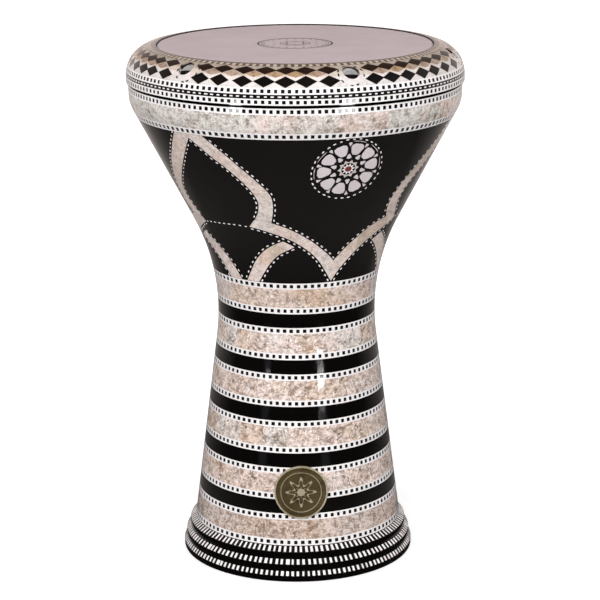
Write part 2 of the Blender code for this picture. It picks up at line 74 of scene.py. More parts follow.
def linear(red: int, green: int, blue: int) -> Colour:
    """Turn a display colour, each value 0 to 255, into a scene colour."""
    shares = (value / 255 for value in (red, green, blue))
    return tuple(s / 12.92 if s <= 0.04045 else ((s + 0.055) / 1.055) ** 2.4 for s in shares)


class Finish(Enum):
    """The finishes that the pieces are dressed in."""

    LACQUER = "black_lacquer"
    PEARL = "pearl_chips"
    STEM_PEARL = "stem_pearl"
    LOW_PEARL = "low_pearl"
    RIBBON_PEARL = "ribbon_pearl"
    PETAL_PEARL = "petal_pearl"
    WHITE_PEARL = "white_pearl"
    GREY_PEARL = "grey_pearl"
    MID_PEARL = "mid_pearl"
    DULL_PEARL = "dull_pearl"
    WHITE = "white_inlay"
    BROWN = "brown_inlay"
    BLACK = "black_inlay"
    TAN = "tan_inlay"
    TAUPE = "taupe_inlay"
    UMBER = "umber_inlay"
    RED = "red_inlay"
    FILM = "head_film"
    INK = "printing_ink"
    CAST = "cast_aluminium"
    TURNED = "turned_aluminium"
    STEEL = "blackened_steel"
    BRASS = "aged_brass"
    BRIGHT_BRASS = "worn_brass"


class Graph:
    """Adds and joins the nodes of one shader tree."""

    def __init__(self, tree: NodeTree) -> None:
        """Keep the tree that nodes are added to."""
        self.tree = tree

    def feed(self, socket: NodeSocket, value: object) -> None:
        """Link a socket to another, or set its plain value.

        Args:
            socket: The input.
            value: A socket, a number, a vector or a colour of three numbers.
        """
        if isinstance(value, NodeSocket):
            self.tree.links.new(value, socket)
        elif socket.type == "RGBA" and len(value) == 3:
            socket.default_value = (*value, 1.0)
        else:
            socket.default_value = value

    def node(self, kind: str, inputs: dict | None = None, **settings: object) -> Node:
        """Add a node.

        Args:
            kind: Blender's name for the node.
            inputs: A socket or value for each input, by its name or number.
            settings: Properties to set on it.

        Returns:
            The new node.
        """
        made = self.tree.nodes.new(kind)
        for name, value in settings.items():
            setattr(made, name, value)
        for key, value in (inputs or {}).items():
            self.feed(made.inputs[key], value)
        return made

    def maths(self, operation: str, first: object, second: object = 0.0) -> NodeSocket:
        """Join two values by one of Blender's operations."""
        return self.node("ShaderNodeMath", {0: first, 1: second}, operation=operation).outputs[0]

    def plus(self, first: object, second: object) -> NodeSocket:
        """Add two values."""
        return self.maths("ADD", first, second)

    def minus(self, first: object, second: object) -> NodeSocket:
        """Take the second value from the first."""
        return self.maths("SUBTRACT", first, second)

    def times(self, first: object, second: object) -> NodeSocket:
        """Multiply two values."""
        return self.maths("MULTIPLY", first, second)

    def mix(self, share: object, first: object, second: object, blend: str = "MIX") -> NodeSocket:
        """Mix two colours by the share of the second, 0 to 1."""
        return self.node("ShaderNodeMix", {0: share, 6: first, 7: second}, data_type="RGBA",
                         blend_type=blend).outputs[2]

    def ramp(self, share: object, stops: Sequence[tuple[float, Colour]]) -> NodeSocket:
        """Read a colour off a ramp.

        Args:
            share: Place on the ramp.
            stops: Places and colours.

        Returns:
            The colour's socket.
        """
        made = self.node("ShaderNodeValToRGB", {0: share})
        marks = made.color_ramp.elements
        while len(marks) < len(stops):
            marks.new(1.0)
        for mark, (place, colour) in zip(marks, stops):
            mark.position = place
            mark.color = (*colour, 1.0)
        return made.outputs[0]

    def spread(self, value: object, low: float, high: float, start: float = 0.0,
               end: float = 1.0) -> NodeSocket:
        """Stretch a value from low and high to start and end, and hold it there."""
        return self.node("ShaderNodeMapRange", {
            "Value": value, "From Min": low, "From Max": high, "To Min": start,
            "To Max": end}).outputs[0]

    def noise(self, place: object, size: float, detail: float = 3.0, rough: float = 0.55,
              output: str = "Fac") -> NodeSocket:
        """Add noise by the size of its waves in metres, its finer waves and their strength."""
        return self.node("ShaderNodeTexNoise", {
            "Vector": place, "Scale": 1 / size, "Detail": detail,
            "Roughness": rough}).outputs[output]

    def cells(self, place: object, size: float, feature: str = "F1") -> Node:
        """Add a pattern of cells with a usual width in metres."""
        return self.node("ShaderNodeTexVoronoi", {"Vector": place, "Scale": 1 / size}, feature=feature)


class GroupMaker:
    """Makes the shader groups that several finishes share, each once."""

    @staticmethod
    def open(name: str, takes: dict[str, object],
             gives: Sequence[str]) -> tuple[NodeTree, Graph, object, object]:
        """Start a group with its sockets.

        Args:
            name: The group's name.
            takes: The usual number, or the kind, of each input.
            gives: Name of each output: Colour is a colour and the others are numbers.

        Returns:
            The tree, its graph, and the inner sockets of its inputs and outputs.
        """
        tree = bpy.data.node_groups.new(name, "ShaderNodeTree")
        for label, usual in takes.items():
            kind = usual if isinstance(usual, str) else NUMBER
            socket = tree.interface.new_socket(label, in_out="INPUT", socket_type=kind)
            if kind == NUMBER:
                socket.default_value = usual
        for label in gives:
            kind = COLOUR if label == "Colour" else NUMBER
            tree.interface.new_socket(label, in_out="OUTPUT", socket_type=kind)
        graph = Graph(tree)
        start, end = graph.node("NodeGroupInput"), graph.node("NodeGroupOutput")
        return tree, graph, start.outputs, end.inputs

    @classmethod
    def pearl(cls) -> NodeTree:
        """Make the group for crushed mother of pearl under resin.

        Returns:
            The group: tones of plates, streaks and chips, cracks, dark flecks and painted glints.
        """
        tree, g, takes, gives = cls.open(
            "crushed_pearl",
            {"Place": VECTOR, "Pale": 0.0, "Tone": COLOUR, "Contrast": 1.0, "Flecks": 1.0},
            ("Colour", "Roughness", "Height"))
        own = g.node("ShaderNodeAttribute", attribute_name=TINT).outputs["Fac"]
        bend = g.noise(takes["Place"], 0.007, 2.0, output="Color")
        place = g.node("ShaderNodeVectorMath", {
            0: bend, 1: (0.004, 0.004, 0.003), 2: takes["Place"]},
            operation="MULTIPLY_ADD").outputs[0]
        plates = g.cells(place, 0.0105).outputs["Color"]
        turn = g.node("ShaderNodeVectorMath", {0: plates, "Scale": math.tau}, operation="SCALE")
        spun = g.node("ShaderNodeVectorRotate", {"Vector": place, "Rotation": turn.outputs[0]},
                      rotation_type="EULER_XYZ")
        squeeze = g.node("ShaderNodeMapping", {"Vector": spun.outputs[0], "Scale": (1.0, 1.0, 0.2)})
        streak = g.noise(squeeze.outputs[0], 0.0017, 3.0, 0.65)
        chips = g.cells(place, 0.0025, "SMOOTH_F1").outputs["Color"]
        patch = g.noise(place, 0.0055, 2.0, 0.6)
        chip = g.node("ShaderNodeSeparateColor", {0: chips}).outputs
        plate = g.node("ShaderNodeSeparateColor", {0: plates}).outputs
        grain = g.noise(place, 0.0012, 3.0, 0.7)
        level = 0.0
        for source, share in ((g.spread(streak, 0.38, 0.62), 0.56), (patch, 1.3), (grain, 0.55),
                              (chip[0], 0.45), (plate[1], 0.16)):
            level = g.plus(g.times(g.minus(source, 0.5), share), level)
        level = g.plus(g.times(level, takes["Contrast"]), 0.56)
        tone = g.ramp(level, [
            (0.00, (0.30, 0.25, 0.21)), (0.22, (0.48, 0.43, 0.39)),
            (0.45, (0.68, 0.65, 0.62)), (0.72, (0.86, 0.84, 0.83)), (1.00, (1.0, 1.0, 1.0))])
        cloud = g.noise(takes["Place"], 0.026, 3.0, 0.6)
        share = g.plus(own, g.times(g.minus(cloud, 0.5), 1.1))
        share = g.plus(share, g.times(g.minus(plate[0], 0.5), 0.16))
        hue = g.ramp(share, [
            (0.04, linear(234, 230, 226)), (0.26, linear(241, 230, 225)),
            (0.46, linear(245, 223, 215)), (0.60, linear(241, 221, 208)),
            (0.76, linear(230, 200, 178)), (0.92, linear(204, 186, 156))])
        tone = g.mix(1.0, tone, hue, "MULTIPLY")
        seams = g.cells(place, 0.0068, "DISTANCE_TO_EDGE").outputs["Distance"]
        where = g.noise(takes["Place"], 0.019, 3.0, 0.6)
        crack = g.times(g.spread(seams, 0.0, 0.045, 0.75, 0.0), g.spread(where, 0.50, 0.60))
        tone = g.mix(g.times(crack, takes["Contrast"]), tone, linear(112, 94, 76))
        stain = g.noise(takes["Place"], 0.011, 4.0, 0.65)
        stained = g.times(g.spread(stain, 0.60, 0.655), g.spread(chip[1], 0.35, 0.55, 0.0, 0.8))
        tone = g.mix(g.times(stained, takes["Flecks"]), tone, linear(92, 80, 58))
        # Painted glints: small near-white spots mixed into the colour stand in for highlights on the
        # chips.
        glint_noise = g.noise(place, 0.0021, 2.0, 0.5)
        painted_glint = g.times(g.spread(glint_noise, 0.62, 0.68, 0.0, 0.8), takes["Contrast"])
        tone = g.mix(painted_glint, tone, linear(250, 246, 242))
        g.feed(gives["Colour"], g.mix(takes["Pale"], tone, takes["Tone"]))
        g.feed(gives["Roughness"], g.spread(chip[2], 0.0, 1.0, 0.26, 0.5))
        g.feed(gives["Height"], g.plus(chip[1], g.times(grain, 0.5)))
        return tree

    @classmethod
    def resin(cls) -> NodeTree:
        """Make the group for the faint unevenness and handling marks of cured resin.

        Returns:
            The group: a roughness and a height.
        """
        tree, g, takes, gives = cls.open(
            "cured_resin", {"Place": VECTOR, "Least": 0.05, "Marks": 0.1},
            ("Roughness", "Height"))
        wave = g.noise(takes["Place"], 0.018, 2.0, 0.4)
        smear = g.noise(takes["Place"], 0.05, 5.0, 0.7)
        specks = g.cells(takes["Place"], 0.0032).outputs["Distance"]
        dust = g.spread(specks, 0.04, 0.10, 1.0, 0.0)
        rough = g.plus(takes["Least"], g.times(g.spread(smear, 0.48, 0.75), takes["Marks"]))
        g.feed(gives["Roughness"], g.plus(rough, g.times(dust, 0.05)))
        g.feed(gives["Height"], g.plus(wave, g.times(dust, 0.06)))
        return tree

    @classmethod
    def tinted(cls) -> NodeTree:
        """Make the group that gives each small inlay its own shade.

        Returns:
            The group: a colour moved a little by the inlay's own number, clouds and grain.
        """
        tree, g, takes, gives = cls.open(
            "own_shade", {"Place": VECTOR, "Colour": COLOUR, "Other": COLOUR, "Cloud": COLOUR,
                          "Depth": 0.3, "Clouds": 0.0}, ("Colour", "Height"))
        own = g.node("ShaderNodeAttribute", attribute_name=TINT).outputs["Fac"]
        grain = g.noise(takes["Place"], 0.0016, 4.0, 0.7)
        cloud = g.noise(takes["Place"], 0.0045, 4.0, 0.6)
        colour = g.mix(g.times(own, takes["Depth"]), takes["Colour"], takes["Other"])
        clouded = g.times(g.spread(cloud, 0.46, 0.66), takes["Clouds"])
        colour = g.mix(clouded, colour, takes["Cloud"])
        light = g.spread(grain, 0.25, 0.75, 0.88, 1.07)
        g.feed(gives["Colour"], g.mix(1.0, colour, light, "MULTIPLY"))
        g.feed(gives["Height"], grain)
        return tree

    @classmethod
    def metal_grain(cls) -> NodeTree:
        """Make the group for the skin of bare metal: pits, smears and turning lines.

        Returns:
            The group: a mask of dull places, a roughness and a height.
        """
        tree, g, takes, gives = cls.open(
            "metal_grain", {"Place": VECTOR, "Pits": 0.5, "Lines": 0.5, "Least": 0.25},
            ("Dull", "Roughness", "Height"))
        sand = g.noise(takes["Place"], 0.0022, 5.0, 0.75)
        cloud = g.noise(takes["Place"], 0.015, 4.0, 0.6)
        squeeze = g.node("ShaderNodeMapping", {"Vector": takes["Place"], "Scale": (0.02, 0.02, 1.0)})
        line = g.noise(squeeze.outputs[0], 0.0004, 2.0, 0.6)
        dull = g.spread(cloud, 0.42, 0.68)
        g.feed(gives["Dull"], dull)
        g.feed(gives["Roughness"], g.plus(takes["Least"], g.times(dull, 0.22)))
        g.feed(gives["Height"], g.plus(g.times(sand, takes["Pits"]), g.times(line, takes["Lines"])))
        return tree


@dataclass(frozen=True)
class Inlay:
    """A small tile's finish: shades that its own number and clouds mix, under clear resin."""

    colour: Colour
    other: Colour
    depth: float
    cloud: Colour = (0.0, 0.0, 0.0)
    clouds: float = 0.0
    roughness: float = 0.3


@dataclass(frozen=True)
class PearlTone:
    """A kind of pearl: how far it goes to a plain tone, and how uneven and flecked it is."""

    pale: float
    tone: Colour
    contrast: float
    flecks: float
    bump: float = 0.00012


@dataclass(frozen=True)
class MetalTone:
    """A bare metal: two shades, its pits and lines, smoothest roughness and metal share."""

    colour: Colour
    dull: Colour
    pits: float
    lines: float
    least: float
    metallic: float
    bump: float = 0.0001


INLAYS = {
    Finish.WHITE: Inlay(linear(248, 245, 246), linear(238, 231, 229), 0.7,
                        linear(228, 219, 215), 0.25),
    Finish.BLACK: Inlay(linear(6, 5, 5), linear(18, 12, 11), 0.7, linear(30, 20, 14), 0.25),
    Finish.BROWN: Inlay(linear(24, 13, 9), linear(40, 22, 13), 0.8, linear(58, 36, 20), 0.35),
    Finish.TAN: Inlay(linear(172, 142, 110), linear(170, 150, 138), 1.0,
                      linear(116, 86, 60), 0.7),
    Finish.TAUPE: Inlay(linear(204, 188, 174), linear(184, 164, 148), 0.8),
    Finish.UMBER: Inlay(linear(104, 84, 66), linear(74, 56, 44), 0.8,
                        linear(48, 36, 28), 0.5),
    Finish.RED: Inlay(linear(128, 54, 48), linear(104, 44, 44), 0.6),
}
PEARLS = {
    Finish.PEARL: PearlTone(0.0, linear(214, 204, 206), 1.0, 1.0),
    Finish.STEM_PEARL: PearlTone(0.0, linear(214, 204, 206), 1.25, 1.2),
    # A darker, more contrasted copy of the stem pearl for the lowest band: painted shade where the
    # light falls off towards the floor.
    Finish.LOW_PEARL: PearlTone(0.3, linear(156, 132, 118), 1.7, 1.2),
    Finish.RIBBON_PEARL: PearlTone(0.3, linear(250, 232, 224), 0.85, 0.7),
    Finish.PETAL_PEARL: PearlTone(0.8, linear(224, 215, 221), 0.5, 0.0, 0.00004),
    # The rim's ground is one pearl dressed as lit and shaded copies: white where its faces lean low on
    # the crown, half-shaded and shaded higher up, as painted light and shade. The rosettes' arcs use
    # the white pearl as their own colour.
    Finish.WHITE_PEARL: PearlTone(0.5, linear(224, 217, 217), 0.6, 0.0, 0.00006),
    Finish.GREY_PEARL: PearlTone(0.5, linear(212, 204, 206), 0.4, 0.0, 0.00006),
    Finish.MID_PEARL: PearlTone(0.6, linear(198, 186, 174), 0.7, 0.0, 0.00006),
    Finish.DULL_PEARL: PearlTone(0.72, linear(154, 141, 127), 0.8, 0.0, 0.00006),
}
METALS = {
    Finish.CAST: MetalTone(linear(158, 157, 155), linear(122, 121, 120), 1.0, 0.0, 0.5,
                           0.55, 0.0006),
    Finish.TURNED: MetalTone(linear(216, 213, 211), linear(182, 178, 176), 0.15, 0.8, 0.24, 0.45),
    Finish.STEEL: MetalTone(linear(60, 57, 56), linear(38, 36, 35), 0.3, 0.3, 0.28, 0.7),
    Finish.BRASS: MetalTone(linear(112, 97, 64), linear(66, 55, 36), 0.1, 0.0, 0.26,
                            0.62, 0.00003),
    # A brighter brass for the plate's raised relief and rim: painted highlight.
    Finish.BRIGHT_BRASS: MetalTone(linear(212, 202, 172), linear(172, 158, 124), 0.1, 0.0, 0.24,
                                   0.5, 0.00003),
}


class Finishes:
    """Makes the material of each finish, once, from the shared groups."""

    def __init__(self) -> None:
        """Build the shared groups."""
        self.pearl = GroupMaker.pearl()
        self.resin = GroupMaker.resin()
        self.tinted = GroupMaker.tinted()
        self.metal_grain = GroupMaker.metal_grain()
        self.made: dict[Finish, Material] = {}

    def of(self, finish: Finish) -> Material:
        """Give the material of a finish."""
        if finish not in self.made:
            if finish in INLAYS:
                self.made[finish] = self.inlay(finish, INLAYS[finish])
            elif finish in PEARLS:
                self.made[finish] = self.pearl_tone(finish, PEARLS[finish])
            elif finish in METALS:
                self.made[finish] = self.metal(finish, METALS[finish])
            else:
                self.made[finish] = {Finish.LACQUER: self.lacquer, Finish.FILM: self.film,
                                     Finish.INK: self.ink}[finish]()
        return self.made[finish]

    @staticmethod
    def start(finish: Finish) -> tuple[Material, Graph, Node, NodeSocket]:
        """Start a material.

        Args:
            finish: The finish that names it.

        Returns:
            The material, its graph, its shader and the socket of the object's coordinates.
        """
        material = bpy.data.materials.new(finish.value)
        material.use_nodes = True
        graph = Graph(material.node_tree)
        place = graph.node("ShaderNodeTexCoord").outputs["Object"]
        return material, graph, material.node_tree.nodes["Principled BSDF"], place

    @staticmethod
    def group(graph: Graph, tree: NodeTree, **values: object) -> object:
        """Place a shared group in a material by its inputs, and give its outputs."""
        return graph.node("ShaderNodeGroup", values, node_tree=tree).outputs

    @staticmethod
    def surface(graph: Graph, shader: Node, colour: object, roughness: object,
                height: object = None, distance: float = 0.0, strength: float = 1.0) -> None:
        """Feed a shader with what varies over the surface.

        Args:
            graph: The material's graph.
            shader: The shader.
            colour: The colour's socket.
            roughness: The roughness's socket.
            height: The height's socket, if the surface has bumps.
            distance: Height of one unit in metres.
            strength: Share of the bumps' effect.
        """
        graph.feed(shader.inputs["Base Color"], colour)
        graph.feed(shader.inputs["Roughness"], roughness)
        if height is not None:
            bump = graph.node("ShaderNodeBump", {
                "Distance": distance, "Strength": strength, "Height": height})
            graph.feed(shader.inputs["Normal"], bump.outputs[0])

    @staticmethod
    def coat(shader: Node, weight: float) -> None:
        """Lay clear resin over a shader."""
        shader.inputs["Coat Weight"].default_value = weight
        shader.inputs["Coat Roughness"].default_value = 0.03

    def lacquer(self) -> Material:
        """Make the deep black lacquer of the casting."""
        material, g, shader, place = self.start(Finish.LACQUER)
        skin = self.group(g, self.resin, Place=place, Least=0.06, Marks=0.10)
        colour = g.mix(g.spread(g.noise(place, 0.09), 0.35, 0.7), linear(4, 3, 3), linear(8, 6, 5))
        self.surface(g, shader, colour, skin["Roughness"], skin["Height"], 0.00025, 0.5)
        return material

    def inlay(self, finish: Finish, tone: Inlay) -> Material:
        """Make the finish of a small plain tile.

        Args:
            finish: The finish that names it.
            tone: Its shades.

        Returns:
            The material.
        """
        material, g, shader, place = self.start(finish)
        shade = self.group(g, self.tinted, Place=place, Colour=tone.colour, Other=tone.other,
                           Cloud=tone.cloud, Depth=tone.depth, Clouds=tone.clouds)
        skin = self.group(g, self.resin, Place=place, Least=tone.roughness, Marks=0.1)
        shader.inputs["Specular IOR Level"].default_value = 0.15
        self.surface(g, shader, shade["Colour"], skin["Roughness"], shade["Height"], 0.00004)
        self.coat(shader, 0.8)
        return material

    def pearl_tone(self, finish: Finish, tone: PearlTone) -> Material:
        """Make a kind of pearl.

        Args:
            finish: The finish that names it.
            tone: How pale, patched and flecked it is.

        Returns:
            The material.
        """
        material, g, shader, place = self.start(finish)
        chips = self.group(g, self.pearl, Place=place, Pale=tone.pale, Tone=tone.tone,
                           Contrast=tone.contrast, Flecks=tone.flecks)
        self.surface(g, shader, chips["Colour"], chips["Roughness"], chips["Height"], tone.bump)
        self.coat(shader, 0.9)
        return material

    def metal(self, finish: Finish, tone: MetalTone) -> Material:
        """Make a bare metal.

        Args:
            finish: The finish that names it.
            tone: Its shades and grain.

        Returns:
            The material.
        """
        material, g, shader, place = self.start(finish)
        grain = self.group(g, self.metal_grain, Place=place, Pits=tone.pits, Lines=tone.lines,
                           Least=tone.least)
        shader.inputs["Metallic"].default_value = tone.metallic
        self.surface(g, shader, g.mix(grain["Dull"], tone.colour, tone.dull),
                     grain["Roughness"], grain["Height"], tone.bump)
        return material

    def film(self) -> Material:
        """Make the matte, slightly toothed coating of the synthetic head."""
        material, g, shader, place = self.start(Finish.FILM)
        tooth = g.noise(place, 0.0009, 3.0, 0.7)
        cloud = g.noise(place, 0.05, 4.0, 0.6)
        colour = g.mix(g.spread(cloud, 0.35, 0.68), linear(192, 175, 178), linear(185, 168, 171))
        colour = g.mix(g.spread(tooth, 0.4, 0.65, 0.0, 0.4), colour, linear(170, 154, 157))
        shader.inputs["Specular IOR Level"].default_value = 0.25
        self.surface(g, shader, colour, g.spread(cloud, 0.3, 0.7, 0.46, 0.58), tooth, 0.00006)
        return material

    def ink(self) -> Material:
        """Make the worn dark ink of the print on the head."""
        material, g, shader, place = self.start(Finish.INK)
        worn = g.noise(place, 0.0014, 4.0, 0.7)
        colour = g.mix(g.spread(worn, 0.45, 0.75, 0.0, 0.5), linear(30, 25, 28), linear(96, 86, 90))
        self.surface(g, shader, colour, g.spread(worn, 0.3, 0.7, 0.4, 0.6))
        return material


FINISHES = Finishes()


def rounded(points: Line, radii: Sequence[float], step: float) -> list[Pair]:
    """Round the corners of a line and give it even points.

    Args:
        points: The line's corners.
        radii: Radius at each corner between its ends.
        step: Longest distance between points on an arc, in metres.

    Returns:
        The line with an arc at each corner.
    """
    line = [points[0]]
    for before, corner, after, radius in zip(points, points[1:], points[2:], radii):
        if radius <= 0:
            line.append(corner)
            continue
        here = Vector(corner)
        back, ahead = (Vector(before) - here).normalized(), (Vector(after) - here).normalized()
        half = back.angle(ahead) / 2
        tangent, reach = radius / math.tan(half), radius / math.sin(half)
        centre = here + (back + ahead).normalized() * reach
        first, last = here + back * tangent - centre, here + ahead * tangent - centre
        sweep = math.atan2(first.x * last.y - first.y * last.x, first.dot(last))
        count = max(2, math.ceil(abs(sweep) * radius / step))
        for index in range(count + 1):
            turned = Matrix.Rotation(sweep * index / count, 2) @ first
            line.append((centre.x + turned.x, centre.y + turned.y))
    line.append(points[-1])
    return line


class Skin:
    """A turned surface, by the angle round it and the distance along its profile."""

    def __init__(self, profile: Line) -> None:
        """Measure the profile.

        Args:
            profile: Radius and height of its points, with the outside on the left going up.
        """
        self.profile = [Vector(point) for point in profile]
        ways = [end - start for start, end in zip(self.profile, self.profile[1:])]
        self.marks = [0.0, *accumulate(way.length for way in ways)]
        self.normals = [Vector((way.y, -way.x)).normalized() for way in ways]

    @property
    def length(self) -> float:
        """Length of the whole profile."""
        return self.marks[-1]

    def piece(self, mark: float) -> int:
        """Number of the profile's piece that holds a mark."""
        return min(max(bisect_right(self.marks, mark) - 1, 0), len(self.normals) - 1)

    def flat(self, mark: float, lift: float = 0.0) -> Pair:
        """Find a place in the profile's own plane.

        Args:
            mark: Distance along the profile.
            lift: Distance outwards from it.

        Returns:
            Radius and height.
        """
        index = self.piece(mark)
        start, end = self.profile[index], self.profile[index + 1]
        span = self.marks[index + 1] - self.marks[index]
        share = (mark - self.marks[index]) / span
        normal = self.normals[index]
        other = index + 1 if share > 0.5 else index - 1
        if 0 <= other < len(self.normals):
            normal = normal.lerp(self.normals[other], abs(share - 0.5)).normalized()
        place = start.lerp(end, share) + normal * lift
        return place.x, place.y

    def at(self, angle: float, mark: float, lift: float = 0.0) -> Vector:
        """Find a place on the surface.

        Args:
            angle: Degrees from the front.
            mark: Distance along the profile.
            lift: Distance outwards from the surface.

        Returns:
            The point.
        """
        radius, height = self.flat(mark, lift)
        turned = math.radians(angle)
        return Vector((radius * math.sin(turned), -radius * math.cos(turned), height))

    def mark(self, height: float) -> float:
        """Find the mark at a height on a profile that only rises."""
        for index, (start, end) in enumerate(zip(self.profile, self.profile[1:])):
            if start.y <= height <= end.y and end.y > start.y:
                return self.marks[index] + (end - start).length * (
                    (height - start.y) / (end.y - start.y))
        return 0.0 if height < self.profile[0].y else self.length

    def radius(self, mark: float) -> float:
        """Radius of the surface at a mark."""
        return self.flat(mark)[0]

    def stretch(self, low: float, high: float, lift: float = 0.0, step: float = 0.004) -> list[Pair]:
        """Radius and height of points along the profile, no more than a step apart."""
        count = max(1, math.ceil((high - low) / step))
        return [self.flat(low + (high - low) * index / count, lift) for index in range(count + 1)]


def deselect() -> None:
    """Leave nothing selected and no object in edit mode."""
    if bpy.context.mode != "OBJECT":
        bpy.ops.object.mode_set(mode="OBJECT")
    bpy.ops.object.select_all(action="DESELECT")


def take(obj: Object) -> None:
    """Make one object the selected and active one."""
    deselect()
    obj.select_set(True)
    bpy.context.view_layer.objects.active = obj


@contextmanager
def editing(obj: Object, mode: str = "VERT", keep: bool = False) -> Iterator[None]:
    """Open an object in edit mode for the work that follows, and close it again.

    Args:
        obj: The object.
        mode: Whether vertices, edges or faces are picked.
        keep: True to keep the selection that code has set, or False to select all.
    """
    take(obj)
    bpy.ops.object.mode_set(mode="EDIT")
    bpy.ops.mesh.select_mode(type=mode)
    if not keep:
        bpy.ops.mesh.select_all(action="SELECT")
    yield
    bpy.ops.object.mode_set(mode="OBJECT")


def smooth(obj: Object, angle: float) -> Object:
    """Smooth an object but for the edges where faces meet at more than an angle."""
    take(obj)
    bpy.ops.object.shade_smooth_by_angle(angle=math.radians(angle))
    return obj


def close_mesh(obj: Object, angle: float = 35.0) -> Object:
    """Merge doubles, turn the faces outwards and smooth what isn't an edge.

    Args:
        obj: The object.
        angle: Degrees between faces from which an edge stays sharp.

    Returns:
        The object.
    """
    with editing(obj):
        bpy.ops.mesh.remove_doubles(threshold=1e-6)
        bpy.ops.mesh.normals_make_consistent(inside=False)
    return smooth(obj, angle)


def put(name: str, data: ID) -> Object:
    """Make an object of new data and link it to the scene."""
    obj = bpy.data.objects.new(name, data)
    bpy.context.scene.collection.objects.link(obj)
    return obj


def bearing(place: Vector) -> float:
    """Degrees round the drum from the front."""
    return math.degrees(math.atan2(place.x, -place.y))


def turned(name: str, profile: Line, segments: int = 180, looped: bool = True,
           start: float = 0.0) -> Object:
    """Turn a profile about the drum's axis, from a ring that is drawn out and sized.

    Args:
        name: Name of the piece.
        profile: Radius and height of each ring; a radius of zero may come last.
        segments: Facets in a full turn.
        looped: True to join the last ring to the first.
        start: Angle of one column of vertices, in degrees from the front.

    Returns:
        The new object.
    """
    deselect()
    (radius, height), *rest = profile
    fill = "NOTHING" if looped else "TRIFAN"
    bpy.ops.mesh.primitive_circle_add(vertices=segments, radius=radius, fill_type=fill)
    obj = bpy.context.object
    obj.name = obj.data.name = name
    first = next(v.co for v in obj.data.vertices if v.co.length > radius / 2)
    spin = Matrix.Rotation(math.radians(start - bearing(first)), 4, "Z")
    obj.data.transform(Matrix.Translation((0, 0, height)) @ spin)
    for face in obj.data.polygons:
        face.select = False
    for vert in obj.data.vertices:
        vert.select = vert.co.xy.length > radius / 2
    for edge in obj.data.edges:
        edge.select = all(obj.data.vertices[v].select for v in edge.vertices)
    if looped:
        rest.append(profile[0])
    with editing(obj, "EDGE", keep=True):
        for next_radius, next_height in rest:
            bpy.ops.mesh.extrude_region_move(
                TRANSFORM_OT_translate={"value": (0, 0, next_height - height)})
            if next_radius > 1e-7:
                size = next_radius / radius
                bpy.ops.transform.resize(value=(size, size, 1), center_override=(0, 0, 0))
            else:
                bpy.ops.mesh.merge(type="CENTER")
            radius, height = next_radius, next_height
    return close_mesh(obj)


def apply(obj: Object, kind: str, **settings: object) -> None:
    """Add a modifier to an object and apply it.

    Args:
        obj: The object.
        kind: Blender's name for the modifier.
        settings: Its properties.
    """
    take(obj)
    made = obj.modifiers.new(kind.lower(), kind)
    for name, value in settings.items():
        setattr(made, name, value)
    bpy.ops.object.modifier_apply(modifier=made.name)


def cut(obj: Object, cutter: Object) -> None:
    """Take one object's shape out of another, and remove it."""
    apply(obj, "BOOLEAN", operation="DIFFERENCE", solver="EXACT", object=cutter)
    bpy.data.objects.remove(cutter)


def bore(obj: Object, places: Iterable[Pair], radius: float, low: float, high: float,
         sides: int = 40, lean: float = 0.0) -> None:
    """Bore holes in an object.

    Args:
        obj: The object.
        places: The x and y of each hole.
        radius: Radius of the holes.
        low: Height of their bottom.
        high: Height of their top.
        sides: Facets round a hole.
        lean: Degrees by which the holes lean out from upright.
    """
    for x, y in places:
        deselect()
        turn = (Matrix.Rotation(math.atan2(y, x), 3, "Z")
                @ Matrix.Rotation(math.radians(lean), 3, "Y")).to_euler()
        bpy.ops.mesh.primitive_cylinder_add(vertices=sides, radius=radius, depth=high - low,
                                            location=(x, y, (low + high) / 2), rotation=turn)
        cut(obj, bpy.context.object)


def dress(obj: Object, finishes: Iterable[Finish]) -> None:
    """Give a piece its materials in order."""
    for finish in finishes:
        obj.data.materials.append(FINISHES.of(finish))


def give(obj: Object, body: str, finishes: Sequence[Finish] = (),
         replaces: Sequence[str] = ()) -> None:
    """Dress a piece and set it on its body.

    Args:
        obj: The piece.
        body: The body it rides on.
        finishes: Its materials in order, when it has none yet.
        replaces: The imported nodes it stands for.
    """
    dress(obj, finishes)
    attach(obj, body)
    if replaces:
        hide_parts(*replaces)
    log.info("%s: %d faces on %s", obj.name, len(obj.data.polygons), body)


def tint_faces(mesh: Mesh, values: Sequence[float]) -> None:
    """Store the number of each face that its finish reads for its own shade."""
    layer = mesh.attributes.get(TINT) or mesh.attributes.new(TINT, "FLOAT", "FACE")
    layer.data.foreach_set("value", values)


def runs(chance: random.Random, total: int, least: int, most: int,
         tones: Sequence[float]) -> list[float]:
    """Share a line of faces out among butted plates.

    Args:
        chance: Source of the random draws.
        total: How many faces are in line.
        least: Fewest faces in a plate.
        most: Most faces in a plate.
        tones: Numbers that a plate may have.

    Returns:
        The number of each face.
    """
    values: list[float] = []
    while len(values) < total:
        tone = chance.choice(tones) + chance.uniform(-0.05, 0.05)
        values += [tone] * chance.randint(least, most)
    return values[:total]


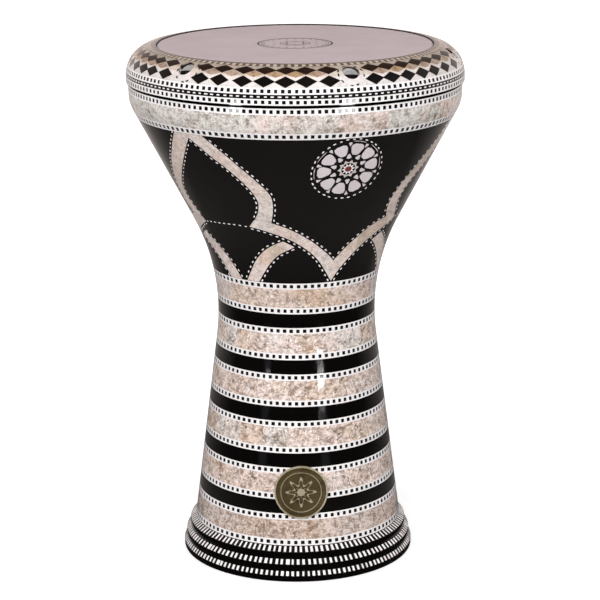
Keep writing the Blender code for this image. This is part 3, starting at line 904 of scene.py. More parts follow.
def tile(outline: Line, rings: int = 2, depth: float = 0.4 * MM, edge: float = 0.1 * MM,
         hole: Line | None = None) -> Mesh:
    """Model one flat tile from a disc that is drawn to its outline.

    Args:
        outline: The x and y of its corners.
        rings: Rings of faces between the outline and the middle or the hole.
        depth: Its thickness, down from zero.
        edge: Width of the chamfer round its top.
        hole: The outline of a hole, with as many corners.

    Returns:
        The tile's mesh.
    """
    deselect()
    count = len(outline)
    bpy.ops.mesh.primitive_circle_add(vertices=count, radius=1.0, fill_type="NOTHING")
    obj = bpy.context.object
    left = rings + 1
    with editing(obj, "EDGE"):
        for ring in range(rings if hole else rings - 1):
            size = (left - ring - 1) / (left - ring)
            bpy.ops.mesh.extrude_region_move(TRANSFORM_OT_translate={"value": (0, 0, 0)})
            bpy.ops.transform.resize(value=(size, size, 1), center_override=(0, 0, 0))
        if not hole:
            bpy.ops.mesh.extrude_region_move(TRANSFORM_OT_translate={"value": (0, 0, 0)})
            bpy.ops.mesh.merge(type="CENTER")
    middle = Vector((sum(x for x, _ in outline) / count, sum(y for _, y in outline) / count))
    for vert in obj.data.vertices:
        share = vert.co.xy.length
        index = round(math.atan2(vert.co.y, vert.co.x) / math.tau * count) % count
        if hole:
            share = (share - 1 / left) / (1 - 1 / left)
            vert.co = Vector(hole[index]).lerp(Vector(outline[index]), share).to_3d()
        else:
            vert.co = middle.lerp(Vector(outline[index]), share if share > 1e-6 else 0).to_3d()
    with editing(obj):
        bpy.ops.mesh.normals_make_consistent(inside=False)
    if obj.data.polygons[0].normal.z < 0:
        obj.data.flip_normals()
    apply(obj, "SOLIDIFY", thickness=depth, offset=-1.0)
    mesh = obj.data
    if edge > 0:
        sides = {key for face in mesh.polygons if abs(face.normal.z) < 0.5 for key in face.edge_keys}
        for part in (*mesh.vertices, *mesh.polygons):
            part.select = False
        for line in mesh.edges:
            ends = [mesh.vertices[v] for v in line.vertices]
            line.select = line.key in sides and all(end.co.z > -1e-7 for end in ends)
            for end in ends:
                end.select = end.select or line.select
        with editing(obj, "EDGE", keep=True):
            bpy.ops.mesh.bevel(offset=edge, offset_type="OFFSET", segments=1)
    bpy.data.objects.remove(obj)
    return mesh


@dataclass(frozen=True)
class Place:
    """Where one tile lies: its centre, its turn and size, its finish and its own number."""

    angle: float
    mark: float
    turn: float = 0.0
    wide: float = 1.0
    tall: float = 1.0
    finish: int = 0
    tint: float = 0.0


def by_hand(chance: random.Random, angle: float, mark: float, turn: float,
            sizes: Pair = (0.85, 1.1)) -> Place:
    """Place a tile with its width, height and shade drawn at random, in this order."""
    return Place(angle, mark, turn, chance.uniform(*sizes), chance.uniform(*sizes), 0, chance.random())


def about(skin: Skin, angle: float, mark: float, x: float, y: float) -> Pair:
    """Angle and mark of a place x and y metres aside of and above another."""
    return angle + math.degrees(x / skin.radius(mark + y)), mark + y


def compass(away: float, turn: float) -> Pair:
    """The x and y at a distance and an angle in degrees clockwise from up."""
    return away * math.sin(math.radians(turn)), away * math.cos(math.radians(turn))


def joined(name: str, layers: Iterable[tuple[Mesh, Callable[[Vector], Vector]]]) -> Object:
    """Join moved copies of meshes in one new object.

    Args:
        name: Name of the piece.
        layers: Each mesh with what gives the new place of its points.

    Returns:
        The new object.
    """
    points: list[Vector] = []
    faces: list[list[int]] = []
    for model, move in layers:
        base = len(points)
        points += [move(vert.co) for vert in model.vertices]
        faces += [[base + index for index in face.vertices] for face in model.polygons]
    mesh = bpy.data.meshes.new(name)
    mesh.from_pydata(points, [], faces)
    return put(name, mesh)


def laid(name: str, skin: Skin, work: Sequence[tuple[Mesh, Sequence[Place]]],
         lift: float = TILE_RISE) -> Object:
    """Copy modelled tiles onto a turned surface, as one piece.

    Args:
        name: Name of the piece.
        skin: The surface.
        work: Each modelled tile with the places of its copies.
        lift: Height of the tiles' tops over the surface.

    Returns:
        The new object.
    """
    def mover(spot: Place) -> Callable[[Vector], Vector]:
        """Make what moves a point of a tile to its place on the surface."""
        spin = Matrix.Rotation(math.radians(-spot.turn), 2)

        def move(corner: Vector) -> Vector:
            """Move one point."""
            flat = spin @ Vector((corner.x * spot.wide, corner.y * spot.tall))
            return skin.at(*about(skin, spot.angle, spot.mark, *flat), lift + corner.z)
        return move

    spots = [(model, spot) for model, places in work for spot in places]
    obj = joined(name, ((model, mover(spot)) for model, spot in spots))
    faces = [spot for model, spot in spots for _ in model.polygons]
    obj.data.polygons.foreach_set("material_index", [spot.finish for spot in faces])
    tint_faces(obj.data, [spot.tint for spot in faces])
    return smooth(obj, 25)


def oval(length: float, width: float, corners: int = 8) -> list[Pair]:
    """Outline of a dash with round ends, long way along x."""
    flat = (length - width) / 2
    turns = [math.tau * (index + 0.5) / corners for index in range(corners)]
    return [(math.copysign(flat, math.cos(a)) + width / 2 * math.cos(a),
             width / 2 * math.sin(a)) for a in turns]


def box_outline(width: float, height: float) -> list[Pair]:
    """Outline of an upright oblong with its middle at the origin."""
    w, h = width / 2, height / 2
    return [(w, -h), (w, h), (-w, h), (-w, -h)]


@dataclass(frozen=True)
class Row:
    """One row of a strip: its share of the width, and whether blocks alternate in it."""

    width: float
    blocks: bool = False


@dataclass(frozen=True)
class Chequer:
    """A strip of small blocks: how many go round, where one is centred, and their rows."""

    count: int
    centre: float
    rows: tuple[Row, ...]
    ground: Finish
    block: Finish
    share: float = 0.5
    shift: float = 0.07
    lost: float = 0.0
    joined: float = 0.0
    one_piece: bool = False

    def lay(self, name: str, skin: Skin, low: float, high: float, seed: int) -> Object:
        """Build the strip as a flush ring of blocks, each a little proud.

        Args:
            name: Name of the piece.
            skin: The surface it lies in.
            low: Mark of its lower edge.
            high: Mark of its upper edge.
            seed: Start of the random draws.

        Returns:
            The new object.
        """
        chance = random.Random(seed)
        pitch = FULL_TURN / self.count
        start = self.centre - pitch * self.share / 2
        marks, total = [low], sum(row.width for row in self.rows)
        for row in self.rows:
            marks.append(marks[-1] + (high - low) * row.width / total)
        outer = [skin.flat(mark) for mark in marks]
        inner = [skin.flat(mark, -STRIP_DEPTH) for mark in (high, low)]
        obj = turned(name, [*outer, *inner], 2 * self.count, start=start)
        mesh = obj.data
        moves = [chance.uniform(-self.shift, self.shift) * pitch / 2 for _ in range(2 * self.count)]
        lost = [chance.random() < self.lost for _ in range(self.count)]
        ends = [self.share * pitch + (chance.random() < self.joined) * (
            0.5 * (1 - self.share) * pitch) for _ in range(self.count)]
        shades = [chance.random() for _ in range(2 * self.count)]
        for vert in mesh.vertices:
            angle = bearing(vert.co)
            column = round((angle - start) / (pitch / 2)) % (2 * self.count)
            number = column // 2
            edge = ends[number] if column % 2 else 0.0
            target = start + number * pitch + edge + moves[column]
            vert.co = Matrix.Rotation(math.radians(target - angle), 3, "Z") @ vert.co
        mids = [((a[0] + b[0]) / 2, (a[1] + b[1]) / 2) for a, b in zip(outer, outer[1:])]
        tints = []
        for face in mesh.polygons:
            corners = [(bearing(mesh.vertices[v].co) - start + pitch / 4) % FULL_TURN
                       for v in face.vertices]
            if max(corners) - min(corners) > 180:
                corners = [c if c > 180 else c + FULL_TURN for c in corners]
            middle = (sum(corners) / len(corners) - pitch / 4) % FULL_TURN
            number = int(middle / pitch) % self.count
            is_block = middle - number * pitch < ends[number]
            away = [math.hypot(face.center.xy.length - r, face.center.z - z) for r, z in mids]
            row = away.index(min(away))
            face.select = (away[row] < STRIP_DEPTH / 3 and self.rows[row].blocks
                           and is_block and not lost[number])
            face.material_index = int(face.select)
            tints.append(shades[2 * number + (not is_block)])
        tint_faces(mesh, tints)
        for part in (*mesh.vertices, *mesh.edges):
            part.select = False
        with editing(obj, "FACE", keep=True):
            bpy.ops.mesh.inset(thickness=BLOCK_CHAMFER, depth=BLOCK_RISE,
                               use_individual=not self.one_piece)
        dress(obj, (self.ground, self.block))
        return smooth(obj, 15)


def dots(count: int, centre: float, high: float = 0.55) -> Chequer:
    """Make a white strip with one row of black blocks, of a share of the strip's height."""
    rim = (1 - high) / 2
    return Chequer(count, centre, (Row(rim), Row(high, True), Row(rim)),
                   Finish.WHITE, Finish.BLACK, share=0.49)


@dataclass
class CastBody:
    """The cast shell: foot, stem, throat, bowl and the collar that bears the head."""

    stem_base: float = 0.0894
    throat: Pair = (0.0618, 0.2471)
    throat_fillet: float = 0.178
    rim_radius: float = 0.140
    shoulder_drop: float = 0.0154
    shoulder_fillet: float = 0.025
    height: float = 0.4108
    wall: float = 0.0045
    tiers: tuple[float, ...] = (0.0999, 0.0977, 0.0943)
    tier_height: float = 0.0095
    tier_round: float = 0.0008
    shoulder_rise: float = 0.0038
    bar_drop: float = 0.0008
    foot_bore: float = 0.0925
    band_bore: float = 0.121
    collar: float = 0.1126
    collar_bore: float = 0.1085
    crest: float = 0.4409
    bearing_round: float = 0.0014
    stem_band_top: float = 0.2525
    stem_band_width: float = 0.0273
    stem_bands: int = 6
    bowl_band: Pair = (0.3844, 0.4103)
    bolt_circle: float = 0.132
    bolt_angle: float = 19.2
    bolt_count: int = 6
    tapped_radius: float = 0.00325
    tapped_base: float = 0.3938
    inside: float = 0.3848
    skin: Skin = field(init=False)

    def __post_init__(self) -> None:
        """Work out the outer surface of stem, throat and bowl."""
        shoulder = (self.rim_radius, self.height - self.shoulder_drop)
        self.skin = Skin(rounded(
            ((self.stem_base, self.foot_top), self.throat, shoulder,
             (self.rim_radius, self.height)), (self.throat_fillet, self.shoulder_fillet), 0.004))

    @property
    def foot_top(self) -> float:
        """Height of the foot's upper face."""
        return self.tier_height * len(self.tiers)

    @property
    def band_pitch(self) -> float:
        """Distance from one stem band to the next."""
        spare = self.stem_band_top - self.stem_band_width - self.foot_top - 0.0002
        return spare / (self.stem_bands - 1)

    def stem_band(self, index: int) -> Pair:
        """Lower and upper edge of a stem band, counted from the top."""
        high = self.stem_band_top - index * self.band_pitch
        return high - self.stem_band_width, high

    def bolt_angles(self) -> list[float]:
        """Angle of each bolt from the front."""
        return [self.bolt_angle + FULL_TURN * n / self.bolt_count for n in range(self.bolt_count)]

    def bolt_places(self) -> list[Pair]:
        """The x and y of each bolt."""
        turns = [math.radians(angle) for angle in self.bolt_angles()]
        return [(self.bolt_circle * math.sin(a), -self.bolt_circle * math.cos(a)) for a in turns]

    def tier_skin(self, index: int) -> Skin:
        """The sloping shoulder of a tier as a surface, going up and in."""
        top = (index + 1) * self.tier_height
        inner = (*self.tiers[1:], self.stem_base)[index]
        line = rounded(((self.tiers[index], top - self.shoulder_rise - self.bar_drop),
                        (self.tiers[index], top - self.shoulder_rise),
                        (inner - self.tier_round / 2, top - self.tier_round / 2)),
                       (self.bar_drop * 1.3,), 0.0003)
        return Skin(line)

    def foot_profile(self) -> list[Pair]:
        """Outer line of the foot, rising, with a seat for the bars on each shoulder."""
        line = [(self.tiers[0] - self.tier_round, 0.0)]
        for index, radius in enumerate(self.tiers):
            base = index * self.tier_height
            slope = self.tier_skin(index)
            drop = self.tier_round
            line += [(radius - drop * 0.3, base + drop * 0.3), (radius, base + drop)]
            line += [slope.flat(0.0), slope.flat(FIT_GAP)]
            line += slope.stretch(FIT_GAP, slope.length - FIT_GAP, -STRIP_DEPTH, 0.0015)
            line.append(slope.flat(slope.length - FIT_GAP))
        return line

    def outer_profile(self) -> list[Pair]:
        """Outer line of the shell, rising, with the seats of all bands."""
        line = self.foot_profile()
        spans = [self.stem_band(i) for i in reversed(range(self.stem_bands))]
        last = 0.0
        for low, high in [*spans, self.bowl_band]:
            a, b = self.skin.mark(low), self.skin.mark(high)
            line += self.skin.stretch(last + 0.0002, a, step=0.0035)
            line += self.skin.stretch(a, b, -SEAT_DEPTH, 0.0045)
            line.append(self.skin.flat(b))
            last = b
        line += [(self.rim_radius, self.height - 0.3 * MM), (self.rim_radius - 0.3 * MM, self.height)]
        return line

    def inner_profile(self) -> list[Pair]:
        """Inner line of the shell, going down from the collar to the foot."""
        seat = rounded(((self.rim_radius, self.height), (self.collar, self.height),
                        (self.collar, self.crest), (self.collar_bore, self.crest),
                        (self.collar_bore, self.height - 0.01)),
                       (0.0008, self.bearing_round, self.bearing_round), 0.0004)
        inner = self.skin.stretch(0.0, self.skin.mark(self.inside - 0.009), -self.wall, 0.006)
        return [*seat[1:-1], (self.collar_bore, self.height - 0.0088),
                (self.band_bore, self.height - 0.0178), (self.band_bore, self.inside),
                *reversed(inner), (self.foot_bore, 0.006), (self.foot_bore, 0.0008),
                (self.foot_bore + 0.0008, 0.0)]

    def build(self) -> None:
        """Turn the shell, tap its rim and dress it: lacquer outside, bare casting inside."""
        shell = turned("cast_shell", [*self.outer_profile(), *self.inner_profile()], 192)
        dress(shell, (Finish.LACQUER, Finish.CAST))
        for face in shell.data.polygons:
            side = face.normal.xy.dot(face.center.xy)
            low_bore = face.center.xy.length < self.skin.radius(self.skin.mark(face.center.z)) - 0.0035
            inside = side < 0 and (low_bore or face.center.z < self.foot_top)
            face.material_index = int(inside)
        bore(shell, self.bolt_places(), self.tapped_radius, self.tapped_base, self.height + 0.001, 24)
        give(close_mesh(shell), BODY, (), ["shell"])


@dataclass
class Bands:
    """The inlaid bands of bowl and stem: pearl between two strips of blocks."""

    cast: CastBody
    strip: float = 0.0054
    facets: int = 180
    tones: tuple[float, ...] = (0.24, 0.36, 0.4, 0.44, 0.5, 0.55, 0.68)
    bowl_tones: tuple[float, ...] = (0.0, 0.05, 0.12, 0.2, 0.32, 0.5)
    upper: tuple[tuple[int, float], ...] = (
        (78, 1.43), (76, 0.85), (82, -0.74), (87, 1.21), (94, -0.20), (97, 1.25))
    lower: tuple[tuple[int, float], ...] = (
        (79, 1.04), (78, -2.23), (86, -0.38), (90, -0.23), (97, -0.18), (95, -1.12))
    bowl_upper: tuple[int, float] = (162, 1.06)
    bowl_lower: tuple[int, float] = (152, 0.91)

    def pearl(self, name: str, low: float, high: float) -> None:
        """Turn one pearl band, flush in its seat.

        Args:
            name: Name of the piece and of the node that it stands for.
            low: Mark of its lower edge.
            high: Mark of its upper edge.
        """
        skin = self.cast.skin
        outer = skin.stretch(low, high, step=0.0045)
        inner = skin.stretch(low, high, -STRIP_DEPTH, step=0.0045)
        band = turned(f"{name}_band", [*outer, *reversed(inner)], self.facets)
        chance = random.Random(name)
        tones = self.bowl_tones if name.startswith("bowl") else self.tones
        plates = runs(chance, self.facets, 5, 14, tones)
        tint_faces(band.data, [
            plates[int((bearing(face.center) % FULL_TURN) / FULL_TURN * self.facets)]
            for face in band.data.polygons])
        paler = name.startswith("bowl") or name.endswith("_1")
        finish = Finish.PEARL if paler else Finish.STEM_PEARL
        # The lowest band gets the darker pearl as painted shade near the floor.
        if name.endswith(f"_{self.cast.stem_bands}"):
            finish = Finish.LOW_PEARL
        give(band, BODY, [finish], [name])

    def band(self, prefix: str, suffix: str, edges: Pair,
             low_dots: tuple[int, float], high_dots: tuple[int, float], seed: int) -> None:
        """Build one band with its two strips.

        Args:
            prefix: Start of the nodes' names.
            suffix: End of the nodes' names.
            edges: Heights of its lower and upper edge.
            low_dots: Count and phase of the lower strip.
            high_dots: Count and phase of the upper strip.
            seed: Start of the random draws.
        """
        skin = self.cast.skin
        low, high = skin.mark(edges[0]), skin.mark(edges[1])
        a = skin.mark(edges[0] + self.strip)
        b = skin.mark(edges[1] - self.strip)
        self.pearl(f"{prefix}_pearl{suffix}", a, b)
        for part, (start, end), (count, centre) in (
                ("dots_lower", (low, a), low_dots), ("dots_upper", (b, high), high_dots)):
            node = f"{prefix}_{part}{suffix}"
            seed += 1
            strip = dots(count, centre).lay(f"{node}_strip", skin, start, end, seed)
            give(strip, BODY, (), [node])

    def build(self) -> None:
        """Build the band of the bowl and the six of the stem."""
        self.band("bowl", "", self.cast.bowl_band, self.bowl_lower, self.bowl_upper, 100)
        for index in range(self.cast.stem_bands):
            self.band("stem", f"_{index + 1}", self.cast.stem_band(index),
                      self.lower[index], self.upper[index], 110 + 10 * index)


@dataclass
class FootBars:
    """The rings of white bars on the shoulders of the foot's tiers."""

    cast: CastBody
    rings: tuple[tuple[int, float], ...] = ((139, 0.05), (130, 0.21), (129, -1.17))

    def build(self) -> None:
        """Build one ring of bars for each tier."""
        for index, (count, centre) in enumerate(self.rings):
            skin = self.cast.tier_skin(index)
            rows = (Row(0.10), Row(0.1, True), Row(0.4, True), Row(0.4, True))
            if index < len(self.rings) - 1:
                rows = (Row(0.04), Row(0.1, True), Row(0.44, True), Row(0.38, True), Row(0.04))
            bars = Chequer(count, centre, rows, Finish.BLACK, Finish.WHITE, share=0.44,
                           shift=0.14, joined=0.03, one_piece=True)
            node = f"foot_bars_{index + 1}"
            ring = bars.lay(f"{node}_ring", skin, FIT_GAP, skin.length - FIT_GAP, 200 + index)
            give(ring, BODY, (), [node])


def smooth_line(points: Line, step: float = 1.2) -> list[Pair]:
    """Draw a smooth line through a few points.

    Args:
        points: Angle in degrees and mark in metres of each point.
        step: Rough distance between the new points in millimetres.

    Returns:
        The finer line.
    """
    ends = [tuple(2 * a - b for a, b in zip(points[0], points[1])), *points,
            tuple(2 * a - b for a, b in zip(points[-1], points[-2]))]
    line = []
    for a, b, c, d in zip(ends, ends[1:], ends[2:], ends[3:]):
        span = math.hypot((c[0] - b[0]) * 1.7, (c[1] - b[1]) / MM)
        count = max(2, round(span / step))
        for index in range(count):
            t = index / count
            line.append(tuple(0.5 * (2 * q + (r - p) * t + (2 * p - 5 * q + 4 * r - s) * t * t
                                     + (3 * q - p - 3 * r + s) * t ** 3)
                              for p, q, r, s in zip(a, b, c, d)))
    line.append(points[-1])
    return line


@dataclass(frozen=True)
class RibbonShape:
    """One ribbon: its two edges, each as a few angles and heights in millimetres."""

    name: str
    left: Line
    right: Line


@dataclass
class LaceWork:
    """The pearl ribbons of the bowl with their stitched edges."""

    cast: CastBody
    panels: int = 3
    columns: int = 4
    tones: tuple[float, ...] = (0.2, 0.36, 0.42, 0.48, 0.56, 0.84)
    thickness: float = 0.7 * MM
    dash_length: float = 2.6 * MM
    dash_width: float = 1.25 * MM
    dash_pitch: float = 5.5 * MM
    dash_offset: float = 1.75 * MM
    shapes: tuple[RibbonShape, ...] = (
        RibbonShape(
            "arch_left",
            ((23.3, 253.3), (19.2, 261.7), (14.2, 271.9), (8.3, 280.8), (1.7, 288.3),
             (-5.0, 294.2), (-11.7, 298.3), (-18.3, 301.7), (-24.6, 303.7)),
            ((23.3, 271.8), (19.6, 277.4), (15.8, 282.3), (8.3, 291.4), (1.7, 298.3),
             (-5.0, 304.0), (-12.3, 308.4), (-17.0, 310.2), (-20.8, 310.6))),
        RibbonShape(
            "arch_right",
            ((23.3, 271.8), (27.0, 278.2), (30.6, 284.0), (36.9, 292.6), (42.0, 298.4),
             (47.5, 302.9), (53.4, 305.6), (58.6, 306.6), (62.6, 305.2)),
            ((23.3, 253.3), (28.1, 263.3), (33.1, 271.4), (38.2, 279.0), (43.8, 285.6),
             (50.0, 291.2), (56.3, 295.5), (60.6, 298.8), (64.4, 301.2))),
        RibbonShape(
            "rise_left",
            ((-20.4, 311.0), (-18.0, 318.0), (-17.0, 326.7), (-18.0, 333.0), (-20.4, 341.0),
             (-26.7, 355.0), (-33.3, 367.0), (-41.8, 384.2)),
            ((-12.2, 308.9), (-10.8, 319.0), (-10.4, 328.3), (-11.3, 335.0), (-14.2, 342.5),
             (-21.7, 358.3), (-27.5, 370.8), (-33.9, 384.2))),
        RibbonShape(
            "rise_right",
            ((53.3, 306.0), (50.8, 313.0), (50.2, 321.0), (51.4, 328.5), (53.8, 337.0),
             (60.9, 354.5), (66.7, 367.5), (73.5, 384.2)),
            ((62.3, 306.2), (59.2, 313.0), (57.6, 321.0), (58.0, 329.0), (60.3, 336.0),
             (67.4, 350.8), (73.2, 364.0), (81.2, 384.2))),
        RibbonShape(
            "brace_left",
            ((-34.6, 252.7), (-30.0, 262.5), (-25.8, 271.4), (-20.0, 280.4), (-13.3, 287.3),
             (-7.2, 291.4)),
            ((-25.4, 252.7), (-20.0, 263.3), (-15.0, 272.3), (-10.0, 278.9), (-5.0, 283.0),
             (-0.9, 286.2))),
        RibbonShape(
            "brace_right",
            ((49.2, 285.4), (53.0, 281.6), (57.6, 275.6), (64.0, 266.4), (71.0, 252.7)),
            ((56.6, 290.8), (61.0, 286.6), (66.4, 280.2), (73.0, 270.2), (81.2, 252.7))),
    )
    tie: Line = ((-24.9, 303.4), (-32.0, 304.0), (-38.0, 303.7), (-44.0, 303.2),
                 (-50.0, 302.6), (-55.6, 301.6))

    def on_skin(self, points: Line) -> list[Pair]:
        """Turn angles and heights in millimetres into angles and marks, smoothed."""
        skin = self.cast.skin
        return smooth_line([(angle, skin.mark(height * MM)) for angle, height in points])

    def even(self, points: Line, count: int) -> list[Pair]:
        """Space points evenly along a line of angles and marks.

        Args:
            points: The line.
            count: How many spaces.

        Returns:
            One point more than the spaces.
        """
        skin = self.cast.skin
        marks = [0.0]
        for (a, s), (b, t) in zip(points, points[1:]):
            wide = math.radians(b - a) * skin.radius((s + t) / 2)
            marks.append(marks[-1] + math.hypot(wide, t - s))
        line, index = [], 0
        for number in range(count + 1):
            want = marks[-1] * number / count
            while index < len(marks) - 2 and marks[index + 1] < want:
                index += 1
            share = (want - marks[index]) / (marks[index + 1] - marks[index])
            (a, s), (b, t) = points[index], points[index + 1]
            line.append((a + (b - a) * share, s + (t - s) * share))
        return line

    def ribbon(self, shape: RibbonShape, panel: int) -> Object:
        """Build one ribbon from a grid that is drawn between its edges.

        Args:
            shape: Its edges.
            panel: Number of the panel, from zero.

        Returns:
            The new object.
        """
        skin = self.cast.skin
        turn = FULL_TURN / self.panels * panel
        rows = 30
        left = self.even(self.on_skin(shape.left), rows)
        right = self.even(self.on_skin(shape.right), rows)
        deselect()
        bpy.ops.mesh.primitive_grid_add(x_subdivisions=self.columns, y_subdivisions=rows, size=2)
        obj = bpy.context.object
        obj.name = obj.data.name = f"ribbon_{shape.name}_{panel + 1}"
        for vert in obj.data.vertices:
            share, row = (vert.co.x + 1) / 2, round((vert.co.y + 1) / 2 * rows)
            (a, s), (b, t) = left[row], right[row]
            vert.co = skin.at(turn + a + (b - a) * share, s + (t - s) * share, TILE_RISE)
        faces = obj.data.polygons
        if faces[0].normal.xy.dot(faces[0].center.xy) < 0:
            obj.data.flip_normals()
        chance = random.Random(40 + 7 * panel + len(shape.name))
        plates = runs(chance, rows, 7, 15, self.tones)
        tint_faces(obj.data, [plates[number // self.columns] for number in range(len(faces))])
        apply(obj, "SOLIDIFY", thickness=self.thickness, offset=-1.0)
        apply(obj, "BEVEL", width=0.1 * MM, segments=1, limit_method="ANGLE",
              angle_limit=math.radians(50))
        return smooth(obj, 25)

    def inside(self, angle: float, mark: float, regions: list[list[Pair]]) -> bool:
        """Say whether a place is on any of the ribbons.

        Args:
            angle: Its angle within the first panel.
            mark: Its mark.
            regions: The ribbons' outlines.

        Returns:
            True if it is.
        """
        for region in regions:
            hit = False
            for (a, s), (b, t) in zip(region, region[1:] + region[:1]):
                if (s > mark) != (t > mark) and angle < a + (b - a) * (mark - s) / (t - s):
                    hit = not hit
            if hit:
                return True
        return False

    def stitches(self) -> list[Place]:
        """Find the place of each white dash beside the ribbons of one panel."""
        skin = self.cast.skin
        regions = []
        edges: list[tuple[list[Pair], int]] = []
        third = FULL_TURN / self.panels
        for shape in self.shapes:
            left, right = self.on_skin(shape.left), self.on_skin(shape.right)
            outline = [*left, *reversed(right)]
            for turn in (-third, 0.0, third):
                regions.append([(a + turn, s) for a, s in outline])
            edges.append((left, self.side(left, self.even(right, 2)[1])))
            edges.append((right, self.side(right, self.even(left, 2)[1])))
        edges.append((self.on_skin(self.tie), 0))
        places: list[Place] = []
        low, high = self.cast.stem_band_top + 1.3 * MM, self.cast.bowl_band[0] - 1.0 * MM
        chance = random.Random(77)
        for line, side in edges:
            long = sum(self.gap(p, q) for p, q in zip(line, line[1:]))
            count = max(2, round(long / self.dash_pitch))
            spots = self.even(line, 2 * count)
            for index in range(1, 2 * count, 2):
                (a, s), (b, t) = spots[index - 1], spots[min(index + 1, 2 * count)]
                radius = skin.radius(spots[index][1])
                dx, dy = math.radians(b - a) * radius, t - s
                size = math.hypot(dx, dy)
                nx, ny = -dy / size * side, dx / size * side
                off = self.dash_offset + chance.uniform(-0.15, 0.15) * MM
                angle = spots[index][0] + math.degrees(nx * off / radius)
                mark = spots[index][1] + ny * off
                height = skin.flat(mark)[1]
                ends = [(angle + math.degrees(dx / size * k / radius), mark + dy / size * k)
                        for k in (-1.0 * MM, 0.0, 1.0 * MM)]
                if not low < height < high or any(self.inside(*e, regions) for e in ends):
                    continue
                turn = -math.degrees(math.atan2(dy, dx)) + chance.uniform(-6, 6)
                spot = by_hand(chance, angle, mark, turn)
                if all(self.gap((spot.angle, spot.mark), (p.angle + k, p.mark)) > 2.9 * MM
                       for p in places for k in (-third, 0.0, third)):
                    places.append(spot)
        return places

    def gap(self, one: Pair, other: Pair) -> float:
        """Distance over the surface between two places near each other."""
        radius = self.cast.skin.radius((one[1] + other[1]) / 2)
        return math.hypot(math.radians(one[0] - other[0]) * radius, one[1] - other[1])

    def side(self, line: list[Pair], other: Pair) -> int:
        """Find the side of an edge that is away from its ribbon.

        Args:
            line: The edge.
            other: The middle of the ribbon's other edge.

        Returns:
            1 for the left of the edge's direction, or -1 for its right.
        """
        middle = len(line) // 2
        (a, s), (b, t) = line[middle - 1], line[middle + 1]
        radius = self.cast.skin.radius(s)
        dx, dy = math.radians(b - a) * radius, t - s
        ox, oy = math.radians(other[0] - a) * radius, other[1] - s
        return -1 if dx * oy - dy * ox > 0 else 1

    def build(self) -> None:
        """Build every ribbon and the stitches of all panels."""
        dash = tile(oval(self.dash_length, self.dash_width), 1, 0.4 * MM, 0.12 * MM)
        one_panel = self.stitches()
        for panel in range(self.panels):
            for shape in self.shapes:
                stands = {"arch_left": [f"lace_ribbon_{panel + 1}"],
                          "brace_right": [f"lower_ribbon_{2 * panel + 1}"],
                          "brace_left": [f"lower_ribbon_{2 * ((panel - 1) % 3) + 2}"]}
                give(self.ribbon(shape, panel), BODY, [Finish.RIBBON_PEARL],
                     stands.get(shape.name, []))
            turn = FULL_TURN / self.panels * panel
            places = [replace(p, angle=p.angle + turn) for p in one_panel]
            stitches = laid(f"ribbon_stitches_{panel + 1}", self.cast.skin, [(dash, places)])
            give(stitches, BODY, [Finish.WHITE])


def divided(corners: Sequence[Vector], count: int) -> list[Pair]:
    """Divide each side of a closed outline into a number of equal pieces."""
    return [tuple(start.lerp(end, step / count))
            for start, end in zip(corners, [*corners[1:], corners[0]]) for step in range(count)]


def star_outline(points: int, outer: float, inner: float, pieces: int = 2) -> list[Pair]:
    """Outline of a star with one point straight up.

    Args:
        points: How many points it has.
        outer: Radius of the points.
        inner: Radius of the notches.
        pieces: Pieces that each straight side is divided into.

    Returns:
        The corners, going anticlockwise.
    """
    return divided([Vector(compass(inner if n % 2 else outer, -180 / points * n))
                    for n in range(2 * points)], pieces)


